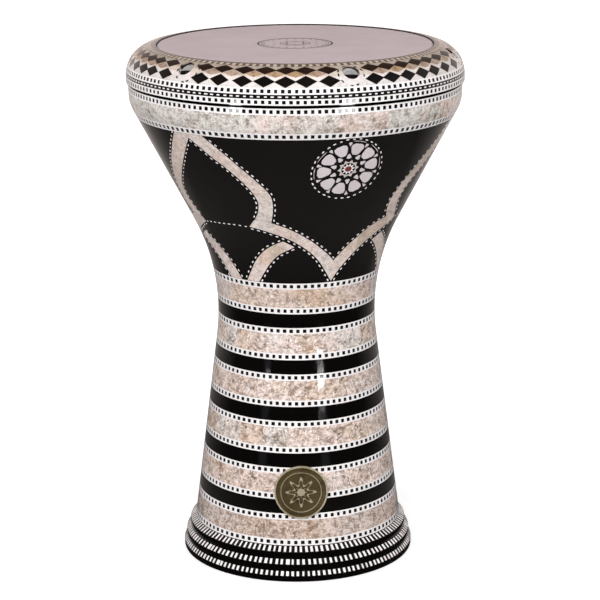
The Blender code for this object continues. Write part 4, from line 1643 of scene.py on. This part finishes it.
@dataclass
class Rosette:
    """The ten-petalled rosette of each panel, tile by tile in the black field."""

    cast: CastBody
    panels: int = 3
    angle: float = 20.4
    height: float = 0.357
    first: float = 11.0
    petals: int = 10
    arcs: tuple[int, ...] = (0, 1, 2, 7, 8)
    dash_ring: float = 30.0 * MM
    dashes: int = 34

    @staticmethod
    def outline(half: Line) -> list[Pair]:
        """Turn the right half of a tile, going up in millimetres, into its whole outline."""
        left = [(-x, y) for x, y in reversed(half) if x > 0]
        return [(x * MM, y * MM) for x, y in [*half, *left]]

    def build(self) -> None:
        """Model each kind of tile once and lay the rosettes."""
        petal = tile(self.outline((
            (0.0, 12.6), (1.75, 14.3), (3.5, 16.2), (5.25, 18.4), (5.5, 21.0), (5.3, 23.8),
            (2.65, 25.4), (0.0, 26.4))), 3)
        spear = tile(self.outline((
            (0.0, 10.5), (1.1, 10.7), (2.1, 11.6), (1.5, 13.2), (0.8, 15.0), (0.0, 16.8))), 2)
        wedge = tile(self.outline(((0.0, 22.7), (0.7, 24.3), (1.6, 26.4), (0.8, 26.9),
                                   (0.0, 27.0))), 1)
        star = tile(star_outline(self.petals, 9.0 * MM, 6.7 * MM), 2, 0.4 * MM, 0.08 * MM,
                    hole=star_outline(self.petals, 6.05 * MM, 5.9 * MM))
        points = tile(star_outline(self.petals, 6.1 * MM, 3.2 * MM, 1), 1, 0.4 * MM, 0.06 * MM)
        heart = tile(star_outline(self.petals, 3.0 * MM, 2.85 * MM, 1), 1, 0.5 * MM, 0.08 * MM)
        arc = tile(self.arc_outline(27.7, 28.15, 13.0), 1, 0.3 * MM, 0.0)
        dash = tile(oval(2.6 * MM, 1.25 * MM), 1, 0.4 * MM, 0.12 * MM)
        skin = self.cast.skin
        mark, top = skin.mark(self.height), skin.mark(self.cast.bowl_band[0] - 0.8 * MM)
        step = FULL_TURN / self.petals
        for panel in range(self.panels):
            chance = random.Random(300 + panel)
            middle = self.angle + FULL_TURN / self.panels * panel

            def round_about(offset: float, finish: int, wobble: float = 1.2) -> list[Place]:
                """Place one copy for each petal, turned by a hand's unevenness."""
                return [Place(middle, mark, self.first + step * n + offset
                              + chance.uniform(-wobble, wobble), finish=finish,
                              tint=chance.random()) for n in range(self.petals)]

            one = Place(middle, mark, self.first, finish=2, tint=0.4)
            arcs = [spot for number, spot in enumerate(round_about(0.0, 1, 0.3))
                    if number in self.arcs]
            work = [(petal, round_about(0.0, 0)), (spear, round_about(step / 2, 0)),
                    (wedge, round_about(step / 2, 0)), (arc, arcs), (star, [one])]
            give(laid(f"rosette_tiles_{panel + 1}", skin, work), BODY,
                 (Finish.PETAL_PEARL, Finish.WHITE_PEARL, Finish.GREY_PEARL),
                 [f"rosette_{panel + 1}"])
            centre = laid(f"rosette_centre_{panel + 1}", skin,
                          [(points, [Place(middle, mark, self.first, tint=0.1)]),
                           (heart, [Place(middle, mark, self.first, finish=1, tint=0.5)])],
                          TILE_RISE + 0.03 * MM)
            give(centre, BODY, (Finish.WHITE, Finish.RED))
            ring = []
            for number in range(self.dashes):
                turn = FULL_TURN * number / self.dashes + chance.uniform(-0.8, 0.8)
                x, y = compass(self.dash_ring + chance.uniform(-0.2, 0.2) * MM, turn)
                if mark + y < top:
                    ring.append(by_hand(chance, *about(skin, middle, mark, x, y), turn))
            edge = laid(f"rosette_stitches_{panel + 1}", skin, [(dash, ring)])
            give(edge, BODY, [Finish.WHITE])

    @staticmethod
    def arc_outline(inner: float, outer: float, half: float) -> list[Pair]:
        """Outline of a short arc about straight up, by its radii in millimetres and half sweep."""
        turns = [half * (1 - n / 3) for n in range(7)]
        return [*(compass(outer * MM, turn) for turn in turns),
                *(compass(inner * MM, turn) for turn in reversed(turns))]


@dataclass
class StemPlate:
    """The round brass plate on the stem, with a raised rim and a plain star in relief."""

    cast: CastBody
    angle: float = 2.0
    height: float = 0.0745
    radius: float = 0.0225
    points: int = 8

    def level(self, away: float, turn: float) -> float:
        """Height of the relief.

        Args:
            away: Distance from the middle in metres.
            turn: Angle round the middle in radians.

        Returns:
            The height over the plate's field in metres.
        """
        wave = 0.5 + 0.5 * math.cos(self.points * turn)
        r = away / MM
        star_edge = 7.2 + 6.6 * wave ** 1.8
        high = 0.42 * min(max((star_edge - r) / 0.7, 0.0), 1.0)
        inner_edge = 5.4 + 5.2 * wave ** 1.8
        high -= 0.26 * min(max((inner_edge - r) / 0.7, 0.0), 1.0)
        boss = 0.5 * math.sqrt(max(0.0, 1 - (r / 3.4) ** 2))
        ray = 0.22 * max(0.0, 1 - abs(math.sin(self.points / 2 * turn)) * r / 1.1)
        high += max(boss, ray if 3.4 < r < inner_edge - 1.0 else 0.0)
        high += 0.35 * math.exp(-((r - 17.0) / 0.6) ** 2)
        return high * MM

    def build(self) -> None:
        """Turn a blank, raise its relief and bend it round the stem."""
        top, rim = 1.0 * MM, 0.9 * MM
        profile = [(self.radius, -1.4 * MM), (self.radius, top + rim - 0.4 * MM),
                   (self.radius - 0.4 * MM, top + rim), (self.radius - 1.5 * MM, top + rim),
                   (self.radius - 2.2 * MM, top)]
        rings = 44
        for n in range(1, rings + 1):
            profile.append(((self.radius - 2.2 * MM) * (1 - n / rings), top))
        plate = turned("stem_plate", profile, 144, looped=False)
        skin = self.cast.skin
        mark = skin.mark(self.height)
        heights = {vert.index: 0.0 for vert in plate.data.vertices}
        for vert in plate.data.vertices:
            x, y, z = vert.co
            away = math.hypot(x, y)
            if z > top - 1e-6 and away < self.radius - 2.1 * MM:
                heights[vert.index] = self.level(away, math.atan2(x, y))
                z += heights[vert.index]
            angle = self.angle + math.degrees(x / skin.radius(mark + y))
            vert.co = skin.at(angle, mark + y, z + 0.35 * MM)
        middle = skin.at(self.angle, mark)
        # Raised relief and the rim take the brighter brass as a painted highlight.
        for face in plate.data.polygons:
            away = (face.center - middle).length
            raised = heights[min(face.vertices, key=heights.__getitem__)] > 0.2 * MM
            face.material_index = int(raised or away > self.radius - 0.9 * MM)
        give(close_mesh(plate, 50), BODY, [Finish.BRASS, Finish.BRIGHT_BRASS],
             ["brass_plate"])


@dataclass
class ClampRing:
    """The rounded ring that clamps the head, with its wells and inlaid crown."""

    cast: CastBody
    bottom: float = 0.4122
    top: float = 0.4422
    seat: float = 0.4273
    bore_radius: float = 0.1159
    relief: float = 0.1210
    crown_centre: Pair = (0.1168, 0.4172)
    crown_radius: float = 0.025
    well_radius: float = 0.0052
    well_base: float = 0.4210
    clearance: float = 0.0034
    start: float = 0.75 * MM
    end: float = 0.9 * MM
    strips: tuple[tuple[str, float], ...] = (
        ("dots_lower", 5.0 * MM), ("dash_band", 3.45 * MM), ("dots_upper", 5.25 * MM),
        ("diamonds", 21.47 * MM), ("dots_inner", 6.0 * MM))
    margin: float = 0.2 * MM
    # Leans in degrees at which the rim ground's painted shade steps darker.
    shade_leans: Pair = (44.5, 55.0)
    mouth: tuple[float, float, float] = (49.5, 6.6 * MM, 3.0 * MM)
    lip: float = 0.35 * MM
    roof: float = 0.4365
    well_shade_line: float = 0.4338
    well_dashes: float = 9.7 * MM
    dash_turns: tuple[float, ...] = (-25, 36, 67, 100, 156, 183, 228, 268, 294)
    left_steps: tuple[float, ...] = (7.8, 15.2, 23.2, 30.6, 37.6, 44.2, 52.0)
    right_steps: tuple[float, ...] = (7.7, 14.3, 21.2, 28.2, 34.9, 42.4, 51.2)
    skin: Skin = field(init=False)

    def __post_init__(self) -> None:
        """Work out the crown's surface, from the ring's lower edge to its bore."""
        radius, height = self.crown_centre
        arc = [compass(self.crown_radius, 90 - 1.5 * step) for step in range(61)]
        self.skin = Skin([(radius + self.crown_radius, self.bottom),
                          *((radius + x, height + y) for x, y in arc)])

    def mark_at(self, degrees: float) -> float:
        """Mark on the crown at an angle above the level of its centre."""
        return self.crown_centre[1] - self.bottom + self.crown_radius * math.radians(degrees)

    def build(self) -> None:
        """Build the ring, then each strip of its inlay."""
        self.ring()
        marks = list(accumulate((width for _, width in self.strips), initial=self.start))
        spans = {name: (low, high) for (name, _), low, high in zip(self.strips, marks, marks[1:])}
        edge = spans["dots_inner"][0] + self.margin
        spans["diamonds"] = (spans["diamonds"][0], edge)
        spans["dots_inner"] = (edge, self.skin.length - self.end)
        rim = {
            "dots_lower": dots(161, 0.84, 0.56),
            "dash_band": Chequer(160, 0.68 + FULL_TURN / 320, (
                Row(0.35), Row(0.3, True), Row(0.35)), Finish.BLACK, Finish.WHITE, 0.46,
                shift=0.14),
            "dots_upper": dots(162, 0.43),
            "dots_inner": Chequer(138, 0.42, (Row(0.06), Row(0.56, True), Row(0.38)),
                                  Finish.UMBER, Finish.TAUPE, 0.5),
        }
        for number, (name, strip) in enumerate(rim.items()):
            made = strip.lay(f"rim_{name}_strip", self.skin, *spans[name], 400 + number)
            give(made, CLAMP, (), [f"rim_{name}"])
        self.lattice(*spans["diamonds"])

    def ring(self) -> None:
        """Turn the ring, sink its wells and bore it for the bolts."""
        end = self.skin.length - self.end
        bore_edge = rounded(((self.crown_centre[0], self.top), (self.bore_radius, self.top),
                             (self.bore_radius, self.seat)), (0.0006,), 0.0002)
        ring = turned("clamp_ring", [
            self.skin.flat(0.0), self.skin.flat(self.start),
            *self.skin.stretch(self.start, end, -SEAT_DEPTH, 0.002),
            *self.skin.stretch(end, self.skin.length, step=0.001), *bore_edge[1:],
            (self.relief, self.seat), (self.relief, self.bottom + 0.4 * MM),
            (self.relief + 0.4 * MM, self.bottom)], 192)
        places = self.cast.bolt_places()
        self.open_mouths(ring, self.mouth[1])
        bore(ring, places, self.well_radius, self.well_base, self.roof)
        bore(ring, places, self.clearance, self.bottom - 0.001, self.well_base + 0.001, 24)
        self.split_wells(ring, places)
        dress(ring, (Finish.LACQUER, Finish.TURNED, Finish.STEEL))
        mouths = self.mouth_centres()
        lean = math.radians(self.mouth[0])
        for face in ring.data.polygons:
            centre = face.center
            near = min(math.hypot(centre.x - x, centre.y - y) for x, y in places)
            inner = centre.xy.length < self.relief + 0.1 * MM and centre.z < self.seat + 0.1 * MM
            face.material_index = int(inner)
            # Painted shade: the lower wall of each well is dressed in dark steel, and its upper wall
            # in bare metal.
            if near < self.well_radius + 0.05 * MM and centre.z > self.bottom + MM:
                face.material_index = 1 if centre.z > self.well_shade_line else 2
            for middle in mouths:
                way = Vector((*(middle.xy.normalized() * math.cos(lean)), math.sin(lean)))
                along = (centre - middle).dot(way)
                across = (centre - middle - way * along).length
                if across < self.mouth[1] + 0.05 * MM and (
                        -self.mouth[2] - 0.05 * MM < along < 0.2 * MM):
                    face.material_index = 1
        give(close_mesh(ring), CLAMP, (), ["top_ring"])

    def split_wells(self, ring: Object, places: Line) -> None:
        """Cut a line round each well: above it the wall is bare metal, below it dark steel as painted
        shade deep in the well.
        """
        for part in (*ring.data.vertices, *ring.data.edges):
            part.select = False
        for face in ring.data.polygons:
            face.select = self.bottom + MM < face.center.z and min(
                math.hypot(face.center.x - x, face.center.y - y)
                for x, y in places) < self.well_radius + 0.05 * MM
        with editing(ring, "FACE", keep=True):
            bpy.ops.mesh.bisect(plane_co=(0.0, 0.0, self.well_shade_line), plane_no=(0.0, 0.0, 1.0))

    def mouth_centres(self) -> list[Vector]:
        """Find the middle of each well's mouth on the crown."""
        radius, height = self.skin.flat(self.mark_at(self.mouth[0]))
        return [Vector((x, y, 0)).normalized() * radius + Vector((0, 0, height))
                for x, y in self.cast.bolt_places()]

    def open_mouths(self, obj: Object, radius: float) -> None:
        """Cut the wide mouths of the wells, of a radius, square to the crown."""
        angle, _, depth = self.mouth
        centres = self.mouth_centres()
        height = centres[0].z
        bore(obj, [(c.x, c.y) for c in centres], radius, height - depth, height + 2 * depth,
             lean=90 - angle)

    def diamond(self, width: float, low: float, high: float, waist: float = 0.5) -> Mesh:
        """Model a diamond tile about its own middle.

        Args:
            width: Its width in metres.
            low: Mark of its lower tip.
            high: Mark of its upper tip.
            waist: Share of its height at which it is widest.

        Returns:
            The tile's mesh.
        """
        tall = high - low
        corners = [(0.0, -tall * waist), (width / 2, 0.0), (0.0, tall * (1 - waist)),
                   (-width / 2, 0.0)]
        return tile(divided([Vector(corner) for corner in corners], 4), 3, 0.5 * MM)

    def lattice(self, low: float, high: float) -> None:
        """Lay the pearl ground, the rows of diamonds and the dashes round the wells.

        Args:
            low: Mark of the strip's lower edge.
            high: Mark of its upper edge.
        """
        outer = self.skin.stretch(low, high, step=0.0016)
        inner = self.skin.stretch(low, high, -STRIP_DEPTH, step=0.0032)
        ground = turned("rim_lattice_ground", [*outer, *reversed(inner)], 192)
        self.open_mouths(ground, self.mouth[1] + self.lip)
        radius, height = self.crown_centre
        tints = []
        # Finish and tint follow each face's lean: painted light low on the crown, painted shade higher
        # up.
        for face in ground.data.polygons:
            lean = math.degrees(math.atan2(face.center.z - height, face.center.xy.length - radius))
            face.material_index = sum(lean > limit for limit in self.shade_leans)
            tints.append(min(max((lean - 24) / 60, 0.0), 0.55))
        tint_faces(ground.data, tints)
        give(close_mesh(ground), CLAMP,
             [Finish.WHITE_PEARL, Finish.MID_PEARL, Finish.DULL_PEARL], ["rim_diamonds"])
        chance = random.Random(500)
        blacks: list[float] = []
        tans: list[float] = []
        for number, here in enumerate(self.cast.bolt_angles()):
            steps = self.right_steps if number < self.cast.bolt_count / 2 else self.left_steps
            blacks += [here + step for step in steps]
            tans += [here + (one + two) / 2 for one, two in zip(steps, steps[1:])]
        rows = (
            ("rim_diamonds_lower", Finish.BLACK, blacks, 21.8, 45.6, 7.4, 0.5),
            ("rim_diamonds_middle", Finish.TAN, tans, 41.5, 57.5, 6.9, 0.46),
            ("rim_diamonds_upper", Finish.BROWN, blacks, 47.6, 71.0, 8.1, 0.5),
        )
        for name, finish, angles, bottom, top, wide, waist in rows:
            a, b = self.mark_at(bottom), self.mark_at(top)
            middle = a + (b - a) * waist
            model = self.diamond(math.radians(wide) * self.skin.radius(middle), a, b, waist)
            spots = [by_hand(chance, angle + chance.uniform(-0.12, 0.12),
                             middle + chance.uniform(-0.2, 0.2) * MM, chance.uniform(-1.0, 1.0),
                             (0.95, 1.02)) for angle in angles]
            give(laid(name, self.skin, [(model, spots)]), CLAMP, [finish])
        dash = tile(box_outline(2.6 * MM, 1.15 * MM), 1, 0.5 * MM, 0.06 * MM)
        spots = []
        well = self.mark_at(self.mouth[0] - 4)
        for number, angle in enumerate(self.cast.bolt_angles()):
            aside = (-0.7 if number < self.cast.bolt_count / 2 else 3.4) * MM
            for n in self.dash_turns:
                turn = n + chance.uniform(-5, 5)
                x, y = compass(self.well_dashes + chance.uniform(-0.3, 0.3) * MM, turn)
                spots.append(by_hand(chance, *about(self.skin, angle, well, 1.08 * x + aside, y),
                                     turn, (0.85, 1.15)))
        dashes = laid("rim_well_dashes", self.skin, [(dash, spots)])
        give(dashes, CLAMP, [Finish.BLACK])


@dataclass
class Head:
    """The synthetic head: its film with a turned-down hem, the hoop and a plain print."""

    film_radius: float = 0.1153
    top: float = 0.4416
    thickness: float = 0.4 * MM
    hem_end: float = 0.4221
    hoop_bore: float = 0.1134
    slot: tuple[float, float, float] = (0.1144, 0.1158, 0.4185)
    hoop_radius: float = 0.1206
    hoop: Pair = (0.4155, 0.4270)
    print_height: float = 0.02 * MM

    def build(self) -> None:
        """Build the film, the hoop and the print."""
        r, t = self.film_radius, self.thickness
        outside = rounded(((0.0, self.top), (r, self.top), (r, self.hem_end)), (0.0012,), 0.0003)
        inside = rounded(((0.0, self.top - t), (r - t, self.top - t), (r - t, self.hem_end)),
                         (0.0008,), 0.0003)
        steps = [(r * share, self.top) for share in (0.3, 0.55, 0.75, 0.9)]
        line = [*steps, *outside[1:], *reversed(inside[1:]), (0.0, self.top - t)]
        film = turned("drum_head", line, 192, looped=False)
        give(film, BODY, [Finish.FILM], ["head_film"])
        low, high = self.hoop
        slot_in, slot_out, slot_base = self.slot
        c = 0.4 * MM
        line = [(self.hoop_radius, low + c), (self.hoop_radius, high - c),
                (self.hoop_radius - c, high), (slot_out, high), (slot_out, slot_base),
                (slot_in, slot_base), (slot_in, high), (self.hoop_bore, high),
                (self.hoop_bore, low), (self.hoop_radius - c, low)]
        hoop = turned("clamping_hoop", line, 160)
        give(hoop, CLAMP, [Finish.TURNED], ["head_hoop"])
        self.prints()

    @staticmethod
    def line_ring(radius: float, width: float) -> Mesh:
        """Model a thin printed ring as a flat tile with a hole."""
        outer, inner = ([compass(radius + aside, 90 - 5 * n) for n in range(72)]
                        for aside in (width / 2, -width / 2))
        return tile(outer, 1, 0.05 * MM, 0.0, hole=inner)

    def prints(self) -> None:
        """Lay the thin rings, the dots and the plain eight-pointed star of the print."""
        spot = tile(star_outline(8, 1.1 * MM, 0.8 * MM, 1), 1, 0.05 * MM, 0.0)
        star = tile(star_outline(8, 11.2 * MM, 7.6 * MM), 1, 0.05 * MM, 0.0,
                    hole=star_outline(8, 9.2 * MM, 6.3 * MM))
        rings = [self.line_ring(radius * MM, width * MM)
                 for radius, width in ((31.0, 1.5), (28.4, 0.5), (12.5, 0.7))]
        layers = [(mesh, (0.0, 0.0)) for mesh in (*rings, star, spot)]
        layers += [(spot, compass(26.4 * MM, 15 * n)) for n in range(24)]
        layers += [(spot, compass(19.0 * MM, 45 * n + 22.5)) for n in range(8)]

        def shifted(x: float, y: float) -> Callable[[Vector], Vector]:
            """Make what moves a point aside and up to the film."""
            return lambda point: point + Vector((x, y, self.top + self.print_height))

        obj = joined("head_print", [(mesh, shifted(*shift)) for mesh, shift in layers])
        give(obj, BODY, [Finish.INK])


@dataclass
class Fixings:
    """The socket-head bolts and the washers under their heads."""

    cast: CastBody
    head_radius: float = 0.005
    head_low: float = 0.4228
    head_top: float = 0.4288
    shank: float = 0.0029
    tip: float = 0.3978
    socket: float = 0.005
    socket_depth: float = 0.003
    washer: tuple[float, float, float, float] = (0.0058, 0.0034, 0.4213, 0.4225)
    thread_pitch: float = 1.0 * MM
    thread_depth: float = 0.3 * MM

    def bolt_profile(self) -> list[Pair]:
        """Half section of a bolt from the top of its head down to its tip."""
        c = 0.5 * MM
        line = [(self.head_radius - c, self.head_top), (self.head_radius, self.head_top - c),
                (self.head_radius, self.head_low + 0.2 * MM),
                (self.head_radius - 0.2 * MM, self.head_low), (self.shank, self.head_low)]
        turns = int((self.head_low - self.tip - 0.003) / self.thread_pitch)
        height = self.head_low - 0.002
        for _ in range(turns):
            line += [(self.shank, height), (self.shank - self.thread_depth,
                                            height - self.thread_pitch / 2)]
            height -= self.thread_pitch
        line += [(self.shank, height), (self.shank - 0.5 * MM, self.tip), (0.0, self.tip)]
        return line

    def build(self) -> None:
        """Model one bolt and one washer, and copy them to each well."""
        bolt = turned("bolt_model", self.bolt_profile(), 32, looped=False)
        deselect()
        bpy.ops.mesh.primitive_cylinder_add(
            vertices=6, radius=self.socket / math.sqrt(3), depth=2 * self.socket_depth,
            location=(0, 0, self.head_top))
        cut(bolt, bpy.context.object)
        close_mesh(bolt)
        outer, inner, low, high = self.washer
        c = 0.15 * MM
        washer = turned("washer_model", [
            (outer, low + c), (outer, high - c), (outer - c, high), (inner + c, high),
            (inner, high - c), (inner, low + c), (inner + c, low), (outer - c, low)], 40)
        for number, (x, y) in enumerate(self.cast.bolt_places(), start=1):
            self.copy(bolt, f"tuning_bolt_{number}_screw", x, y, 17.0 * number,
                      f"tuning_bolt_{number}", f"bolt_{number}")
            self.copy(washer, f"tuning_washer_{number}", x, y, 0.0, CLAMP, f"washer_{number}")
        for model in (bolt, washer):
            bpy.data.objects.remove(model)

    @staticmethod
    def copy(model: Object, name: str, x: float, y: float, turn: float, body: str, node: str) -> None:
        """Copy a model on the axis to its place and turn, and set it on its body."""
        mesh = model.data.copy()
        mesh.transform(Matrix.Translation((x, y, 0)) @ Matrix.Rotation(math.radians(turn), 4, "Z"))
        give(put(name, mesh), body, [Finish.STEEL], [node])


@dataclass(frozen=True)
class Lamp:
    """One soft lamp: where it stands, what it faces, its size and its strength."""

    name: str
    place: tuple[float, float, float]
    size: Pair
    power: float
    glossy: bool = True
    aim: tuple[float, float, float] = (0.0, 0.0, 0.22)


@dataclass
class Studio:
    """The camera, the soft lamps, the pale floor and the white surroundings."""

    distance: float = 1.80
    eye: float = 0.6965
    pitch: float = 14.838
    roll: float = -0.32
    lens: float = 129.633
    shift: float = 0.00582
    # Angles of the two bluish pools of painted reflection on the floor.
    painted_reflection_pools: tuple[float, ...] = (-41.0, 33.0)
    lamps: tuple[Lamp, ...] = (
        Lamp("overhead", (0.0, -0.9, 1.9), (1.4, 1.4), 15.0, False),
        Lamp("front_fill", (-0.4, -2.4, 1.4), (1.6, 1.6), 32.0, False),
        Lamp("right_fill", (1.8, -1.2, 1.0), (1.0, 1.4), 12.0, False),
        Lamp("left_fill", (-1.8, -1.2, 1.0), (1.0, 1.4), 10.5, False),
        Lamp("back_fill", (0.0, 2.2, 1.1), (1.6, 1.2), 16.0, False),
        Lamp("rim_glint_left", (-1.19, -1.5, 0.1), (0.28, 0.6), 9.0, aim=(-1.255, -1.582, 1.0945)),
        Lamp("rim_glint_right", (1.1, -1.66, 0.1), (0.30, 0.6), 12.0, aim=(1.157, -1.747, 1.0945)),
        Lamp("stem_glint_left", (-1.19, -1.5, 0.055), (0.22, 0.014), 0.05, aim=(0.0, 0.0, 0.2)),
        Lamp("stem_glint_right", (1.03, -1.67, 0.06), (0.28, 0.014), 0.5, aim=(0.0, 0.0, 0.2)),
    )

    def build(self) -> None:
        """Set up everything round the drum."""
        bpy.context.scene.view_settings.view_transform = "Standard"
        self.camera()
        for lamp in self.lamps:
            self.light(lamp)
        self.floor()
        self.world()

    def camera(self) -> None:
        """Stand the camera where the photograph was taken from."""
        data = bpy.data.cameras.new("camera")
        data.lens, data.sensor_width, data.shift_x = self.lens, 36.0, self.shift
        data.clip_start, data.clip_end = 0.05, 60.0
        camera = put("camera", data)
        lean = Matrix.Rotation(math.radians(90 - self.pitch), 4, "X")
        roll = Matrix.Rotation(math.radians(self.roll), 4, "Z")
        camera.matrix_world = Matrix.Translation((0, -self.distance, self.eye)) @ lean @ roll
        bpy.context.scene.camera = camera

    @staticmethod
    def light(lamp: Lamp) -> None:
        """Hang one lamp."""
        data = bpy.data.lights.new(lamp.name, "AREA")
        data.shape, (data.size, data.size_y) = "RECTANGLE", lamp.size
        data.energy = lamp.power
        obj = put(lamp.name, data)
        way = Vector(lamp.aim) - Vector(lamp.place)
        obj.matrix_world = (Matrix.Translation(lamp.place)
                            @ way.to_track_quat("-Z", "Y").to_matrix().to_4x4())
        obj.visible_camera = False
        obj.visible_glossy = lamp.glossy
        obj.visible_diffuse = not lamp.glossy

    def floor(self) -> None:
        """Lay the pale floor, which keeps the drum's soft shadow and glows for reflections as a
        painted reflection.
        """
        deselect()
        bpy.ops.mesh.primitive_plane_add(size=24.0, location=(0, 0, -0.0004))
        floor = bpy.context.object
        floor.name = "floor"
        material = bpy.data.materials.new("pale_floor")
        material.use_nodes = True
        g = Graph(material.node_tree)
        place = g.node("ShaderNodeTexCoord").outputs["Object"]
        axes = g.node("ShaderNodeSeparateXYZ", {0: place}).outputs
        away = g.node("ShaderNodeVectorMath", {0: place}, operation="LENGTH").outputs["Value"]
        path = g.node("ShaderNodeLightPath").outputs
        clear = g.maths("MAXIMUM", path["Is Camera Ray"], path["Is Transmission Ray"])
        shader = material.node_tree.nodes["Principled BSDF"]
        for name, value in {
                "Base Color": (0.55, 0.55, 0.55), "Roughness": 0.7, "Specular IOR Level": 0.1,
                "Emission Color": (1.0, 1.0, 1.0),
                "Emission Strength": g.times(clear, g.spread(away, 0.15, 1.0, 0.6, 1.0))}.items():
            g.feed(shader.inputs[name], value)
        # Painted reflection: for glossy rays the floor glows, faintly round the drum and more behind
        # it, with two bluish pools to the front left and right that stand in for soft lights.
        near = g.maths("MINIMUM", g.spread(away, 0.165, 0.2, 0.03, 0.2),
                       g.spread(away, 0.25, 0.7, 0.2, 0.04))
        level = g.maths("MAXIMUM", near, g.spread(axes[1], 0.0, 1.2, 0.0, 0.6))
        turn = g.maths("ARCTAN2", axes[0], g.times(axes[1], -1.0))
        painted_reflection_pool = 0.0
        for middle in self.painted_reflection_pools:
            off = g.maths("ABSOLUTE", g.minus(turn, math.radians(middle)))
            painted_reflection_pool = g.plus(g.spread(off, 0.04, 0.11, 1.0, 0.0), painted_reflection_pool)
        painted_reflection_pool = g.times(painted_reflection_pool, g.spread(away, 0.7, 1.0))
        painted_reflection = g.node("ShaderNodeEmission", {
            "Color": g.mix(painted_reflection_pool, (1.0, 0.9, 0.86), (0.78, 0.8, 1.0)),
            "Strength": g.plus(level, g.times(painted_reflection_pool, 0.22))})
        both = g.node("ShaderNodeMixShader", {
            0: path["Is Glossy Ray"], 1: shader.outputs[0], 2: painted_reflection.outputs[0]})
        out = next(n for n in material.node_tree.nodes if n.type == "OUTPUT_MATERIAL")
        g.feed(out.inputs["Surface"], both.outputs[0])
        floor.data.materials.append(material)

    def world(self) -> None:
        """Make the white surroundings and their soft fill."""
        world = bpy.data.worlds.new("white_studio")
        world.use_nodes = True
        g = Graph(world.node_tree)
        path = g.node("ShaderNodeLightPath").outputs
        way = g.node("ShaderNodeTexCoord").outputs["Generated"]
        axes = g.node("ShaderNodeSeparateXYZ", {0: way}).outputs
        low = g.spread(axes[2], 0.1, 0.45, 0.85, 0.08)
        behind = g.times(low, g.spread(axes[1], 0.1, 0.9, 0.02, 1.0))
        high = g.times(g.spread(axes[2], 0.15, 0.4), g.spread(axes[2], 0.45, 0.75, 0.3, 0.09))
        above = g.times(high, g.spread(axes[0], -0.8, 0.8, 0.7, 1.25))
        clear = g.maths("MAXIMUM", path["Is Camera Ray"], path["Is Transmission Ray"])
        glossy = g.times(path["Is Glossy Ray"], g.maths("MAXIMUM", behind, above))
        neither = g.minus(1.0, g.maths("MAXIMUM", clear, path["Is Glossy Ray"]))
        level = g.plus(g.maths("MAXIMUM", clear, glossy), g.times(neither, 0.36))
        colour = g.mix(path["Is Glossy Ray"], (1.0, 1.0, 1.0), (1.0, 0.86, 0.8))
        back = next(n for n in world.node_tree.nodes if n.type == "BACKGROUND")
        g.feed(back.inputs["Color"], colour)
        g.feed(back.inputs["Strength"], level)
        bpy.context.scene.world = world


def main() -> None:
    """Build the drum from the body outwards, then the studio, and note the sizes."""
    logging.basicConfig(level=logging.INFO, format="%(name)s: %(message)s")
    cast = CastBody()
    for part in (cast, Bands(cast), FootBars(cast), LaceWork(cast), Rosette(cast),
                 StemPlate(cast), ClampRing(cast), Head(), Fixings(cast), Studio()):
        part.build()
        log.info("%s done", type(part).__name__)


if __name__ == "__main__":
    main()
